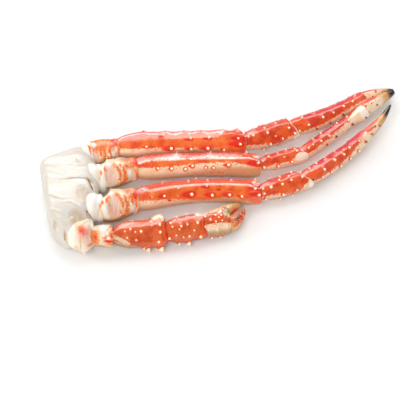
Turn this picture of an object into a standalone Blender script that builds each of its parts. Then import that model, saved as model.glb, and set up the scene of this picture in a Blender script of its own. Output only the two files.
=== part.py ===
"""King crab leg cluster: a white shoulder cut from the body, with three walking legs and
one claw arm still attached. It lies flat with the legs towards +X and the claw arm at the
front (-Y). Lengths below are in millimetres and become metres through MM.
"""

import math

import bmesh
import bpy
import numpy as np
from mathutils import Matrix, Vector

MM = 0.001
GAP = 0.4  # daylight between two neighbouring pieces
SIDES = 12  # corners of a limb's cross-section
SPINE_SIDES = 5
LEAN = math.radians(43.0)  # how far the deep side of every limb leans back from upright
JOINT_REACH = 0.12  # share of a segment over which its rings turn into the joint's plane

# Each limb's middle line: the joints, with one more point inside every long segment.
LEG_ROUTES = {
    "leg_1": (
        (-195, 5, 30),
        (-178, 10, 28),
        (-146, 23, 25),
        (-60, 39, 19),
        (28, 42, 17.5),
        (97, 72, 16.5),
        (151, 97, 15),
        (198, 130, 13),
        (224, 144, 12),
        (249, 159, 9),
    ),
    "leg_2": (
        (-186, -38, 30),
        (-164, -33, 28),
        (-120, -15, 23),
        (-40, -3, 18),
        (48, -1, 17),
        (109, 24, 14),
        (154, 64, 14),
        (196, 102, 16),
        (222, 126, 16),
        (247, 148, 14),
    ),
    "leg_3": (
        (-183, -92, 30),
        (-161, -92, 28),
        (-118, -73, 22),
        (-40, -52, 18),
        (47, -53, 17),
        (111, -27, 16),
        (159, 14, 15),
        (197, 55, 16),
        (220, 81, 20),
        (237, 108, 26),
    ),
}
LEG_SPANS = {
    "coxa": (0, 1),
    "ischium": (1, 2),
    "merus": (2, 4),
    "carpus": (4, 5),
    "propodus": (5, 7),
    "dactylus": (7, 9),
}
CLAW_ROUTE = (
    (-202, -141, 25),
    (-172, -137, 24),
    (-148, -134, 20),
    (-80, -126, 18.5),
    (-30, -114, 17.5),
    (3, -105, 16),
    (17, -94, 14),
    (26, -75, 10),
)
CLAW_SPANS = {
    "coxa": (0, 1),
    "ischium": (1, 2),
    "merus": (2, 3),
    "carpus": (3, 4),
    "palm": (4, 5),
    "finger": (5, 7),
}
FIXED_FINGER_ROUTE = ((-18, -99, 18), (2, -83, 15), (19, -69, 10))

# Half of each segment's deep side, limb by limb.
GIRTH = {
    "leg_1": {
        "coxa": 15.5,
        "ischium": 16.5,
        "merus": 15.8,
        "carpus": 15.6,
        "propodus": 14.0,
        "dactylus": 8.6,
    },
    "leg_2": {
        "coxa": 17.0,
        "ischium": 19.5,
        "merus": 17.0,
        "carpus": 11.8,
        "propodus": 10.6,
        "dactylus": 8.2,
    },
    "leg_3": {
        "coxa": 18.5,
        "ischium": 21.5,
        "merus": 16.8,
        "carpus": 15.2,
        "propodus": 13.0,
        "dactylus": 8.0,
    },
    "claw": {
        "coxa": 21.0,
        "ischium": 14.5,
        "merus": 18.0,
        "carpus": 16.8,
        "palm": 17.0,
        "finger": 9.5,
        "fixed_finger": 7.5,
    },
}

# Cross-sections along a segment: place along it, and shares of the girth for the deep side
# and for the flat side.
PROFILES = {
    "coxa": (
        (0.0, 0.72, 0.66),
        (0.18, 0.95, 0.88),
        (0.45, 0.98, 0.92),
        (0.62, 0.90, 0.84),
        (0.85, 1.0, 0.92),
        (1.0, 0.86, 0.80),
    ),
    "ischium": (
        (0.0, 0.82, 0.76),
        (0.10, 1.0, 0.92),
        (0.38, 1.0, 0.92),
        (0.66, 0.92, 0.84),
        (0.84, 0.82, 0.76),
        (0.94, 0.86, 0.78),
        (1.0, 0.74, 0.68),
    ),
    "merus": (
        (0.0, 0.70, 0.62),
        (0.03, 0.88, 0.76),
        (0.12, 1.0, 0.86),
        (0.32, 0.97, 0.84),
        (0.55, 0.92, 0.80),
        (0.82, 0.97, 0.84),
        (0.94, 1.02, 0.90),
        (1.0, 0.82, 0.74),
    ),
    "carpus": (
        (0.0, 0.64, 0.56),
        (0.06, 0.76, 0.66),
        (0.22, 0.90, 0.78),
        (0.48, 1.0, 0.84),
        (0.74, 1.0, 0.86),
        (0.92, 1.03, 0.90),
        (1.0, 0.90, 0.80),
    ),
    "propodus": (
        (0.0, 0.76, 0.66),
        (0.06, 0.95, 0.80),
        (0.20, 1.0, 0.84),
        (0.46, 0.96, 0.78),
        (0.72, 0.86, 0.72),
        (0.92, 0.80, 0.80),
        (1.0, 0.66, 0.66),
    ),
    "dactylus": (
        (0.0, 0.74, 0.66),
        (0.08, 1.0, 0.84),
        (0.30, 0.88, 0.74),
        (0.56, 0.66, 0.58),
        (0.80, 0.40, 0.38),
        (0.95, 0.20, 0.20),
        (1.0, 0.08, 0.08),
    ),
    "palm": (
        (0.0, 0.72, 0.64),
        (0.10, 0.92, 0.80),
        (0.35, 1.02, 0.88),
        (0.62, 1.0, 0.86),
        (0.86, 0.92, 0.80),
        (1.0, 0.66, 0.60),
    ),
    "finger": (
        (0.0, 0.76, 0.70),
        (0.10, 1.0, 0.90),
        (0.35, 0.84, 0.78),
        (0.62, 0.60, 0.58),
        (0.85, 0.34, 0.34),
        (1.0, 0.10, 0.10),
    ),
}

# Rows of spines: angle round the section from its upper deep edge towards the front, first
# and last place along the segment, how many, and how tall.
SPINE_ROWS = {
    "merus": (
        (108, 0.20, 0.88, 5, 3.4),
        (12, 0.22, 0.92, 4, 2.0),
        (-72, 0.28, 0.86, 4, 2.6),
    ),
    "carpus": (
        (66, 0.30, 0.84, 3, 3.2),
        (122, 0.34, 0.80, 2, 3.0),
        (8, 0.40, 0.78, 2, 3.0),
        (-76, 0.36, 0.80, 2, 2.6),
    ),
    "propodus": (
        (40, 0.16, 0.80, 4, 2.8),
        (98, 0.12, 0.76, 4, 3.0),
        (152, 0.20, 0.88, 4, 2.6),
        (-64, 0.20, 0.80, 3, 2.6),
    ),
    "dactylus": (
        (62, 0.22, 0.52, 2, 1.8),
        (122, 0.18, 0.56, 2, 1.8),
    ),
    "palm": (
        (58, 0.12, 0.36, 2, 2.8),
        (10, 0.12, 0.36, 2, 2.6),
        (-70, 0.12, 0.34, 2, 2.6),
    ),
    "finger": ((70, 0.25, 0.6, 2, 1.6),),
}
CLAW_SPINE_ROWS = {
    "merus": (
        (66, 0.24, 0.84, 3, 3.2),
        (112, 0.36, 0.88, 3, 3.2),
        (168, 0.62, 0.90, 2, 4.4),
        (-76, 0.30, 0.80, 2, 2.8),
    ),
    "carpus": (
        (62, 0.22, 0.80, 3, 3.2),
        (110, 0.30, 0.86, 3, 3.2),
        (170, 0.40, 0.62, 2, 4.0),
        (-76, 0.30, 0.80, 2, 2.8),
    ),
}
SPINE_LEAN = 0.55  # how much a spine tips towards the limb's tip
SPINE_SPREAD = 0.62  # foot radius of a spine as a share of its height
SPINE_ROOT = 2.2  # how deep a spine starts below the surface

# The shoulder, row by row from the claw arm at the front to the first leg at the back:
# cut edge x and y, leg side x and y, and height.
SHOULDER_ROWS = (
    ((-206, -151), (-190, -148), 26),
    ((-228, -129), (-182, -117), 42),
    ((-235, -97), (-176, -87), 52),
    ((-241, -61), (-176, -57), 54),
    ((-247, -37), (-178, -27), 50),
    ((-251, -21), (-186, 3), 46),
    ((-238, -9), (-194, 25), 34),
)
SHOULDER_COLUMNS = 4
SHOULDER_LEVELS = 3
SHOULDER_DROOP = 0.90  # height of its edges against its middle
SEAT_PLAY = 0.5  # room round a coxa in the seat that the shoulder keeps for it

COLOURS = {
    "shoulder": ((0.86, 0.82, 0.74), 0.42),
    "coxa": ((0.86, 0.80, 0.70), 0.40),
    "ischium": ((0.85, 0.55, 0.36), 0.35),
    "merus": ((0.80, 0.25, 0.09), 0.28),
    "carpus": ((0.80, 0.22, 0.08), 0.30),
    "propodus": ((0.76, 0.14, 0.07), 0.30),
    "dactylus": ((0.60, 0.36, 0.18), 0.32),
    "palm": ((0.82, 0.42, 0.22), 0.32),
    "finger": ((0.44, 0.16, 0.08), 0.36),
}


def clear_scene():
    """Starts from nothing."""
    for item in list(bpy.data.objects):
        bpy.data.objects.remove(item, do_unlink=True)


def new_collection(name, hidden=False):
    """A collection in the scene; a hidden one holds the cutters."""
    made = bpy.data.collections.new(name)
    made.hide_render = hidden
    bpy.context.scene.collection.children.link(made)
    return made


def new_material(name, kind):
    """A glossy shell or flesh material for one kind of segment."""
    colour, roughness = COLOURS[kind]
    material = bpy.data.materials.new(name)
    material.use_nodes = True
    shader = material.node_tree.nodes["Principled BSDF"]
    shader.inputs["Base Color"].default_value = (*colour, 1.0)
    shader.inputs["Roughness"].default_value = roughness
    shader.inputs["Metallic"].default_value = 0.0
    return material


def to_object(name, bm, collection, cutter=False):
    """Puts a bmesh in millimetres into the scene as an object in metres."""
    bm.normal_update()
    bmesh.ops.recalc_face_normals(bm, faces=bm.faces)
    bmesh.ops.scale(bm, vec=(MM, MM, MM), verts=bm.verts)
    mesh = bpy.data.meshes.new(name)
    bm.to_mesh(mesh)
    bm.free()
    mesh.shade_smooth()
    made = bpy.data.objects.new(name, mesh)
    collection.objects.link(made)
    if cutter:
        made.hide_render = True
        made.display_type = "WIRE"
    return made


def boolean(target, other, operation):
    """Cuts other out of target, or joins it on."""
    modifier = target.modifiers.new(operation.title(), "BOOLEAN")
    modifier.operation = operation
    modifier.solver = "EXACT"
    modifier.object = other


def unit(vector):
    """The same direction at length one."""
    return vector / np.linalg.norm(vector)


class Segment:
    """One segment of a limb: a bowed middle line from one joint to the next, with a deep
    side, a flat side and the planes of the joints at its two ends."""

    def __init__(self, start, middle, end, start_normal, end_normal):
        chord = np.linalg.norm(end - start)
        trim = 0.5 * GAP / chord
        self.points = (start, middle, end)
        self.normals = (start_normal, end_normal)
        self.trim = trim

    def centre(self, t):
        """The parabola through start, middle and end."""
        start, middle, end = self.points
        return (
            start * (1 - t) * (1 - 2 * t) + middle * 4 * t * (1 - t) + end * t * (2 * t - 1)
        )

    def tangent(self, t):
        """The slope of that parabola."""
        start, middle, end = self.points
        return unit(start * (4 * t - 3) + middle * (4 - 8 * t) + end * (4 * t - 1))

    def frame(self, t):
        """Deep and front directions of the ring at t. Near a joint the ring turns into the
        joint's own plane, so that two neighbours face each other squarely."""
        along = self.tangent(t)
        from_end = min(t, 1 - t)
        share = max(0.0, 1 - from_end / JOINT_REACH)
        nearest = self.normals[0] if t < 0.5 else self.normals[1]
        along = unit(along * (1 - share) + nearest * share)
        upright = np.array((0.0, math.sin(LEAN), math.cos(LEAN)))
        deep = unit(upright - along * (upright @ along))
        return deep, np.cross(along, deep)

    def surface(self, t, angle, deep_half, flat_half):
        """A point of the ring at t: angle runs from the deep edge round to the front."""
        place = self.trim + t * (1 - 2 * self.trim)
        deep, front = self.frame(t)
        return (
            self.centre(place)
            + deep * deep_half * math.cos(angle)
            + front * flat_half * math.sin(angle)
        )


def cut_into_segments(route, spans):
    """Splits a limb's route at its joints. A joint's plane halves the bend there."""
    points = [np.array(point, float) for point in route]
    chords = {
        name: unit(points[last] - points[first]) for name, (first, last) in spans.items()
    }
    names = list(spans)
    segments = {}
    for order, name in enumerate(names):
        first, last = spans[name]
        middle = points[first + 1] if last - first == 2 else 0.5 * (points[first] + points[last])
        before = chords[names[max(order - 1, 0)]]
        after = chords[names[min(order + 1, len(names) - 1)]]
        segments[name] = Segment(
            points[first],
            middle,
            points[last],
            unit(before + chords[name]),
            unit(chords[name] + after),
        )
    return segments


def limb_solid(segment, profile, girth, grow=0.0, behind=0.0):
    """A sphere's rings carried along the segment: each ring becomes one cross-section of the
    profile and each pole the middle of an end face. grow thickens it all round and behind
    makes it start earlier, both for a cutter."""
    bm = bmesh.new()
    bmesh.ops.create_uvsphere(bm, u_segments=SIDES, v_segments=len(profile) + 1, radius=1.0)
    step = math.pi / (len(profile) + 1)
    for vertex in bm.verts:
        ring = round(math.acos(max(-1.0, min(1.0, vertex.co.z))) / step) - 1
        angle = math.atan2(vertex.co.y, vertex.co.x)
        at_pole = ring < 0 or ring == len(profile)
        t, deep_share, flat_share = profile[min(max(ring, 0), len(profile) - 1)]
        deep_half = 0.0 if at_pole else girth * deep_share + grow
        flat_half = 0.0 if at_pole else girth * flat_share + grow
        place = segment.surface(t, angle, deep_half, flat_half)
        if ring <= 0:
            place = place - segment.normals[0] * behind
        vertex.co = Vector(place)
    return bm


def share_at(profile, t):
    """Deep and flat shares between two cross-sections of a profile."""
    places, deep, flat = zip(*profile)
    return float(np.interp(t, places, deep)), float(np.interp(t, places, flat))


def spine_solid(segment, profile, girth, rows):
    """All the spines of a segment as cones, each leaning towards the limb's tip."""
    bm = bmesh.new()
    for angle_degrees, first, last, count, height in rows:
        angle = math.radians(angle_degrees)
        for t in np.linspace(first, last, count):
            deep_share, flat_share = share_at(profile, t)
            foot = segment.surface(t, angle, girth * deep_share, girth * flat_share)
            outward = unit(foot - segment.centre(t))
            direction = unit(outward + segment.tangent(t) * SPINE_LEAN)
            turn = Vector(direction).to_track_quat("Z", "Y").to_matrix().to_4x4()
            middle = foot + direction * (0.5 * (height - SPINE_ROOT))
            bmesh.ops.create_cone(
                bm,
                cap_ends=True,
                segments=SPINE_SIDES,
                radius1=height * SPINE_SPREAD * (1 + SPINE_ROOT / height),
                radius2=0.3,
                depth=height + SPINE_ROOT,
                matrix=Matrix.Translation(Vector(middle)) @ turn,
            )
    return bm


def shoulder_solid():
    """A block of a few rows, columns and levels pulled to the shoulder's outline, which
    Subdivision Surface then rounds. Its underside stays flat in the middle."""
    bm = bmesh.new()
    bmesh.ops.create_cube(bm, size=1.0)
    cuts = (SHOULDER_COLUMNS - 1, len(SHOULDER_ROWS) - 1, SHOULDER_LEVELS - 1)
    for axis, count in enumerate(cuts):
        for order in range(1, count):
            point = Vector((0, 0, 0))
            normal = Vector((0, 0, 0))
            point[axis] = order / count - 0.5
            normal[axis] = 1.0
            bmesh.ops.bisect_plane(
                bm, geom=bm.verts[:] + bm.edges[:] + bm.faces[:], plane_co=point, plane_no=normal
            )
    for vertex in bm.verts:
        across, row, level = (vertex.co[axis] + 0.5 for axis in range(3))
        (cut_side, leg_side, height) = SHOULDER_ROWS[round(row * cuts[1])]
        x = cut_side[0] * (1 - across) + leg_side[0] * across
        y = cut_side[1] * (1 - across) + leg_side[1] * across
        edge = abs(2 * across - 1)
        top = height * (1 - (1 - SHOULDER_DROOP) * edge)
        vertex.co = Vector((x, y, top * level))
    return bm


def build_limb(name, route, spans, spine_rows, parts, cutters):
    """One limb: every segment a solid of its own with its spines joined on."""
    segments = cut_into_segments(route, spans)
    for kind, segment in segments.items():
        build_segment(f"{name}_{kind}", kind, segment, GIRTH[name][kind], spine_rows, parts, cutters)
    return segments


def build_segment(name, kind, segment, girth, spine_rows, parts, cutters):
    """The shell of one segment and its spines."""
    shell = to_object(name, limb_solid(segment, PROFILES[kind], girth), parts)
    shell.data.materials.append(new_material(name, kind))
    if kind in spine_rows:
        cones = spine_solid(segment, PROFILES[kind], girth, spine_rows[kind])
        spines = to_object(f"{name}_spines", cones, cutters, cutter=True)
        boolean(shell, spines, "UNION")
    return shell


def build_shoulder(first_segments, parts, cutters):
    """The shoulder with a seat cut into it for the coxa of each limb."""
    shoulder = to_object("shoulder", shoulder_solid(), parts)
    shoulder.data.materials.append(new_material("shoulder", "shoulder"))
    smooth = shoulder.modifiers.new("Rounding", "SUBSURF")
    smooth.levels = 1
    smooth.render_levels = 1
    for name, segment in first_segments.items():
        seat = limb_solid(
            segment, PROFILES["coxa"], GIRTH[name]["coxa"], grow=SEAT_PLAY, behind=SEAT_PLAY
        )
        boolean(shoulder, to_object(f"{name}_seat", seat, cutters, cutter=True), "DIFFERENCE")
    return shoulder


def build():
    """The whole cluster."""
    clear_scene()
    parts = new_collection("king_crab_leg_cluster")
    cutters = new_collection("cutters", hidden=True)
    first_segments = {}
    for name, route in LEG_ROUTES.items():
        segments = build_limb(name, route, LEG_SPANS, SPINE_ROWS, parts, cutters)
        first_segments[name] = segments["coxa"]
    claw_rows = {**SPINE_ROWS, **CLAW_SPINE_ROWS}
    segments = build_limb("claw", CLAW_ROUTE, CLAW_SPANS, claw_rows, parts, cutters)
    first_segments["claw"] = segments["coxa"]
    finger = cut_into_segments(FIXED_FINGER_ROUTE, {"finger": (0, 2)})["finger"]
    fixed = limb_solid(finger, PROFILES["finger"], GIRTH["claw"]["fixed_finger"])
    boolean(
        bpy.data.objects["claw_palm"],
        to_object("claw_fixed_finger", fixed, cutters, cutter=True),
        "UNION",
    )
    build_shoulder(first_segments, parts, cutters)


build()
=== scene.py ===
# %% [markdown]
# # A cooked king crab leg cluster
# Half of a king crab's legs are sold together: three walking legs and the claw arm, still held by
# a block of white body shell called the shoulder. Every limb is a row of tubes, and each tube
# plugs into the one before it. A tube could be modelled from a cylinder with Subdivision Surface,
# or sculpted by hand. Here each one is a formula on a grid of two numbers, because then the same
# few lines make all of them, and spines, stains and rims go where a formula can put them.

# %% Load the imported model
import math

import bpy
import numpy as np
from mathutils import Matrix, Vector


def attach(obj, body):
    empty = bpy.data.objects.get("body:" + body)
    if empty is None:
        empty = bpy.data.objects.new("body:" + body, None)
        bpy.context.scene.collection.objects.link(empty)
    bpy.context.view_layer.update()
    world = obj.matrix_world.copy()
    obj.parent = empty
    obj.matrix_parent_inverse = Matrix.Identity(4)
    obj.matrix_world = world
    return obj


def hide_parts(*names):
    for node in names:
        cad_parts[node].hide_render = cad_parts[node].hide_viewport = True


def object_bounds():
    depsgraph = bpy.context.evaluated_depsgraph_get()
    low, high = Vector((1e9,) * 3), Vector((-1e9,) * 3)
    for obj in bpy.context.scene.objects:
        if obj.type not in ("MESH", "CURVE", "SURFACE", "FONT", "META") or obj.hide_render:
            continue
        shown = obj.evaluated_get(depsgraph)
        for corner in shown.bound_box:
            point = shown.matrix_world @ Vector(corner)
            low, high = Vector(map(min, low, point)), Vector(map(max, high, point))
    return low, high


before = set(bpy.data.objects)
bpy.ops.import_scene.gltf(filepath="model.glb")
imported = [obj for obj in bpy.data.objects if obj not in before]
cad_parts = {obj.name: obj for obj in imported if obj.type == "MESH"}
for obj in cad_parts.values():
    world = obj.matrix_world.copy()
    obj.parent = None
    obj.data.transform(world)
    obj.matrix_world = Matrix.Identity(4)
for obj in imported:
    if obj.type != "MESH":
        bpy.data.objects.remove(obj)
cad_box = [list(corner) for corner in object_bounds()]
MM = 0.001  # the numbers below are millimetres, and Blender works in metres
print("packed model from", np.round(cad_box[0], 3), "to", np.round(cad_box[1], 3))

# %% [markdown]
# ## The camera
# Food on a table is looked down on. The camera stands well back with a long lens, so that the
# near claw and the far legs keep their true sizes. Placing it by a distance, an angle and a point
# to look at is easier to read than six loose numbers.

# %% Place the camera
LOOK_AT = (-0.0336, -0.0521, 0.0)
LOOK_DOWN = math.radians(47.0)
STAND_OFF = 1.7
WIDTH_IN_VIEW = 0.54


def put_in_scene(name, data):
    """An object for this data, at the origin of the scene."""
    thing = bpy.data.objects.new(name, data)
    bpy.context.scene.collection.objects.link(thing)
    return thing


lens = bpy.data.cameras.new("camera")
lens.sensor_width = 36.0
lens.lens = lens.sensor_width * STAND_OFF / WIDTH_IN_VIEW
camera = put_in_scene("camera", lens)
camera.location = LOOK_AT + STAND_OFF * np.array((0.0, -math.cos(LOOK_DOWN), math.sin(LOOK_DOWN)))
camera.rotation_euler = (math.pi / 2 - LOOK_DOWN, 0.0, 0.0)
bpy.context.scene.camera = camera
print("camera lens", round(lens.lens, 1), "mm")

# %% [markdown]
# ## The studio
# Boiled shell is glossy, so what it mirrors matters as much as what lights it. The panel behind
# the legs is there only to be mirrored, as a long pale band near the top of each tube, with a
# bright strip in it for the white core of that band. The other panels do the lighting, from the
# front, above, behind and both sides. Mirrored, they would lay a grey veil over the oranges, so
# the gloss doesn't see them. The world adds only a little, because the gloss mirrors it too.

# %% Hang the lights and lay the floor
MIRRORED = (  # name, place, width and height, watts
    ("panel_behind", (0.0, 0.87, 0.97), (2.0, 1.15), 27.5),
    ("strip_behind", (0.0, 0.86, 0.94), (1.7, 0.16), 7.0),
)
LIGHTING = (
    ("panel_front", (-0.35, -1.3, 1.2), (1.6, 1.0), 25.0),
    ("panel_above", (0.1, 0.5, 1.4), (1.4, 1.0), 9.0),
    ("panel_back", (0.0, 1.5, 0.6), (2.0, 0.8), 13.0),
    ("panel_left", (-1.4, 0.0, 0.7), (1.0, 1.0), 9.0),
    ("panel_right", (1.4, 0.0, 0.7), (1.0, 1.0), 4.0),
)
WORLD_COLOUR = (1.0, 0.99, 0.98, 1.0)
WORLD_STRENGTH = 0.14
FLOOR_HALF = 3.0
FLOOR_GAP = 0.0005  # how far the floor lies below the shell


def soft_panel(name, place, size, power):
    """A square area light at place that faces the origin."""
    light = bpy.data.lights.new(name, "AREA")
    light.shape = "RECTANGLE"
    light.size, light.size_y = size
    light.energy = power
    lamp = put_in_scene(name, light)
    lamp.location = place
    x, y, z = place
    lamp.rotation_euler = (math.atan2(math.hypot(x, y), z), 0.0, math.atan2(-y, -x) - math.pi / 2)
    return lamp


for panel in MIRRORED:
    soft_panel(*panel).visible_diffuse = False
for panel in LIGHTING:
    soft_panel(*panel).visible_glossy = False

world = bpy.data.worlds.new("studio")
world.use_nodes = True
world.node_tree.nodes["Background"].inputs["Color"].default_value = WORLD_COLOUR
world.node_tree.nodes["Background"].inputs["Strength"].default_value = WORLD_STRENGTH
bpy.context.scene.world = world
bpy.context.scene.view_settings.view_transform = "Standard"


def paint(code):
    """A colour written as six hex digits, as the linear numbers that Blender mixes."""
    shares = np.array([int(code[i : i + 2], 16) for i in (0, 2, 4)]) / 255.0
    linear = np.where(shares <= 0.04045, shares / 12.92, ((shares + 0.055) / 1.055) ** 2.4)
    return (*linear.tolist(), 1.0)


floor_mesh = bpy.data.meshes.new("floor")
corners = FLOOR_HALF * np.array(((-1, -1, 0), (1, -1, 0), (1, 1, 0), (-1, 1, 0)))
floor_mesh.from_pydata((corners + (0, 0, cad_box[0][2] - FLOOR_GAP)).tolist(), [], [(0, 1, 2, 3)])
floor = put_in_scene("floor", floor_mesh)
floor_paint = bpy.data.materials.new("floor")
floor_paint.use_nodes = True
floor_paint.node_tree.nodes["Principled BSDF"].inputs["Base Color"].default_value = paint("EDECEB")
floor_paint.node_tree.nodes["Principled BSDF"].inputs["Roughness"].default_value = 0.7
floor_mesh.materials.append(floor_paint)
print("studio ready")

# %% [markdown]
# ## The middle lines
# Each limb is a chain of joints in space. Between two joints a segment bows a little, which a
# parabola through its start, its middle and its end gives with three points. The rings round the
# line stand square to it, and near a joint they turn into the joint's own plane, so that two
# neighbours meet squarely.
#
# This object needs many small tables. They are written as text, which is shorter to read than
# brackets in brackets, and one helper turns the text into numbers.

# %% Joints of every limb
LEGS = "leg_1", "leg_2", "leg_3"


def by_leg(*values):
    """One value for each walking leg, the hindmost first."""
    return dict(zip(LEGS, values))


def table(text):
    """Rows of numbers: a space between numbers, a comma between rows, and a semicolon between
    the three legs where each has rows of its own."""
    parts = [[[float(n) for n in row.split()] for row in part.split(",")] for part in text.split(";")]
    return by_leg(*parts) if len(parts) > 1 else parts[0]


LEAN = math.radians(43.0)  # how far the deep side of every limb leans back from upright
JOINT_REACH = 0.12  # share of a segment over which its rings turn into the joint's plane
LEG_ROUTES = table("""
-195 0 30, -178 10 28, -146 23 25, -60 38.5 19, 28 41.5 17.5, 97 72 16.5, 151 99 15, 199 136 13,
224 149 12, 248 159 9;
-186 -38 30, -164 -33 28, -120 -15.2 23, -40 -3 18, 48 -2.8 17, 109 22.5 14, 154 64 14, 199 107 16,
221 126 16, 246 149 14;
-183 -92 30, -161 -92 28, -118 -73 22, -40 -52 18, 47 -54.5 17, 111 -27 16, 159 14 15, 197 55 16,
220 81 20, 237 108 26""")
LEG_SPANS = {  # from which point of the route to which
    "coxa": (0, 1), "ischium": (1, 2), "merus": (2, 4),
    "carpus": (4, 5), "propodus": (5, 7), "dactylus": (7, 9),
}
CLAW_ROUTE = table("-202 -141 25, -172 -137 24, -148 -134 20, -80 -126 18.5, -30 -114 17.5, 3 -105 16")
CLAW_SPANS = {"coxa": (0, 1), "ischium": (1, 2), "merus": (2, 3), "carpus": (3, 4), "palm": (4, 5)}
FINGER_ROUTES = {
    "fixed": table("-14 -100 17, 5.5 -84 15.5, 20 -70 10"),
    "moving": table("5.5 -111 15, 16 -99 14, 25 -79 10"),
}


def unit(vectors):
    """Each vector at length one."""
    return vectors / np.linalg.norm(vectors, axis=-1, keepdims=True)


class Segment:
    """One segment's middle line and the planes of the joints at its two ends."""

    def __init__(self, start, middle, end, first_plane, last_plane):
        self.points = start, middle, end
        self.planes = first_plane, last_plane
        self.length = float(np.linalg.norm(end - start))

    def line(self, t):
        """The parabola: start (1-t)(1-2t) + middle 4t(1-t) + end t(2t-1)."""
        start, middle, end = self.points
        t = t[..., None]
        return start * (1 - t) * (1 - 2 * t) + middle * 4 * t * (1 - t) + end * t * (2 * t - 1)

    def directions(self, t):
        """Deep, front and forward directions of the ring at t. Forward is the parabola's slope,
        turned towards the joint's plane near an end; deep is upright made square to it; front
        is square to both."""
        start, middle, end = self.points
        s = t[..., None]
        slope = unit(start * (4 * s - 3) + middle * (4 - 8 * s) + end * (4 * s - 1))
        from_end = np.clip(np.minimum(s, 1 - s), 0, None)
        share = np.clip(1 - from_end / JOINT_REACH, 0, 1)
        plane = np.where(s < 0.5, self.planes[0], self.planes[1])
        forward = unit(slope * (1 - share) + plane * share)
        upright = np.array((0.0, math.sin(LEAN), math.cos(LEAN)))
        deep = unit(upright - forward * (forward @ upright)[..., None])
        return deep, np.cross(forward, deep), forward


def cut_at_joints(route, spans):
    """The segments of a limb. A joint's plane halves the bend between its two neighbours."""
    points = np.array(route)
    ways = [unit(points[last] - points[first]) for first, last in spans.values()]
    ways = [ways[0], *ways, ways[-1]]
    segments = {}
    for order, (name, (first, last)) in enumerate(spans.items()):
        middle = points[first + 1] if last - first == 2 else (points[first] + points[last]) / 2
        before, here, after = ways[order : order + 3]
        planes = unit(before + here), unit(here + after)
        segments[name] = Segment(points[first], middle, points[last], *planes)
    return segments


limbs = {name: cut_at_joints(route, LEG_SPANS) for name, route in LEG_ROUTES.items()}
limbs["claw"] = cut_at_joints(CLAW_ROUTE, CLAW_SPANS)
fingers = {name: cut_at_joints(route, {name: (0, 2)})[name] for name, route in FINGER_ROUTES.items()}
for name, segments in limbs.items():
    print(name, {kind: round(segment.length) for kind, segment in segments.items()}, "mm")

# %% [markdown]
# ## The finishes
# Boiled shell isn't one colour. Its back is crimson and its sides orange; its belly is cream,
# with an uneven border; round every spine lies a red stain. The mesh knows where these zones are,
# so it carries them as attributes, and the material only breaks up their borders with noise. That
# keeps each pattern fixed to the shell and still fine at any distance.

# %% A paintbox for node materials
CLEAR_COAT_IOR = 2.6  # the clear gloss mirrors more than water would
UNDER_COAT_GLOSS = 0.25
GLOW_REACH = (1.0, 0.45, 0.25)  # how far red, green and blue light travel inside, as shares


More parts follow.
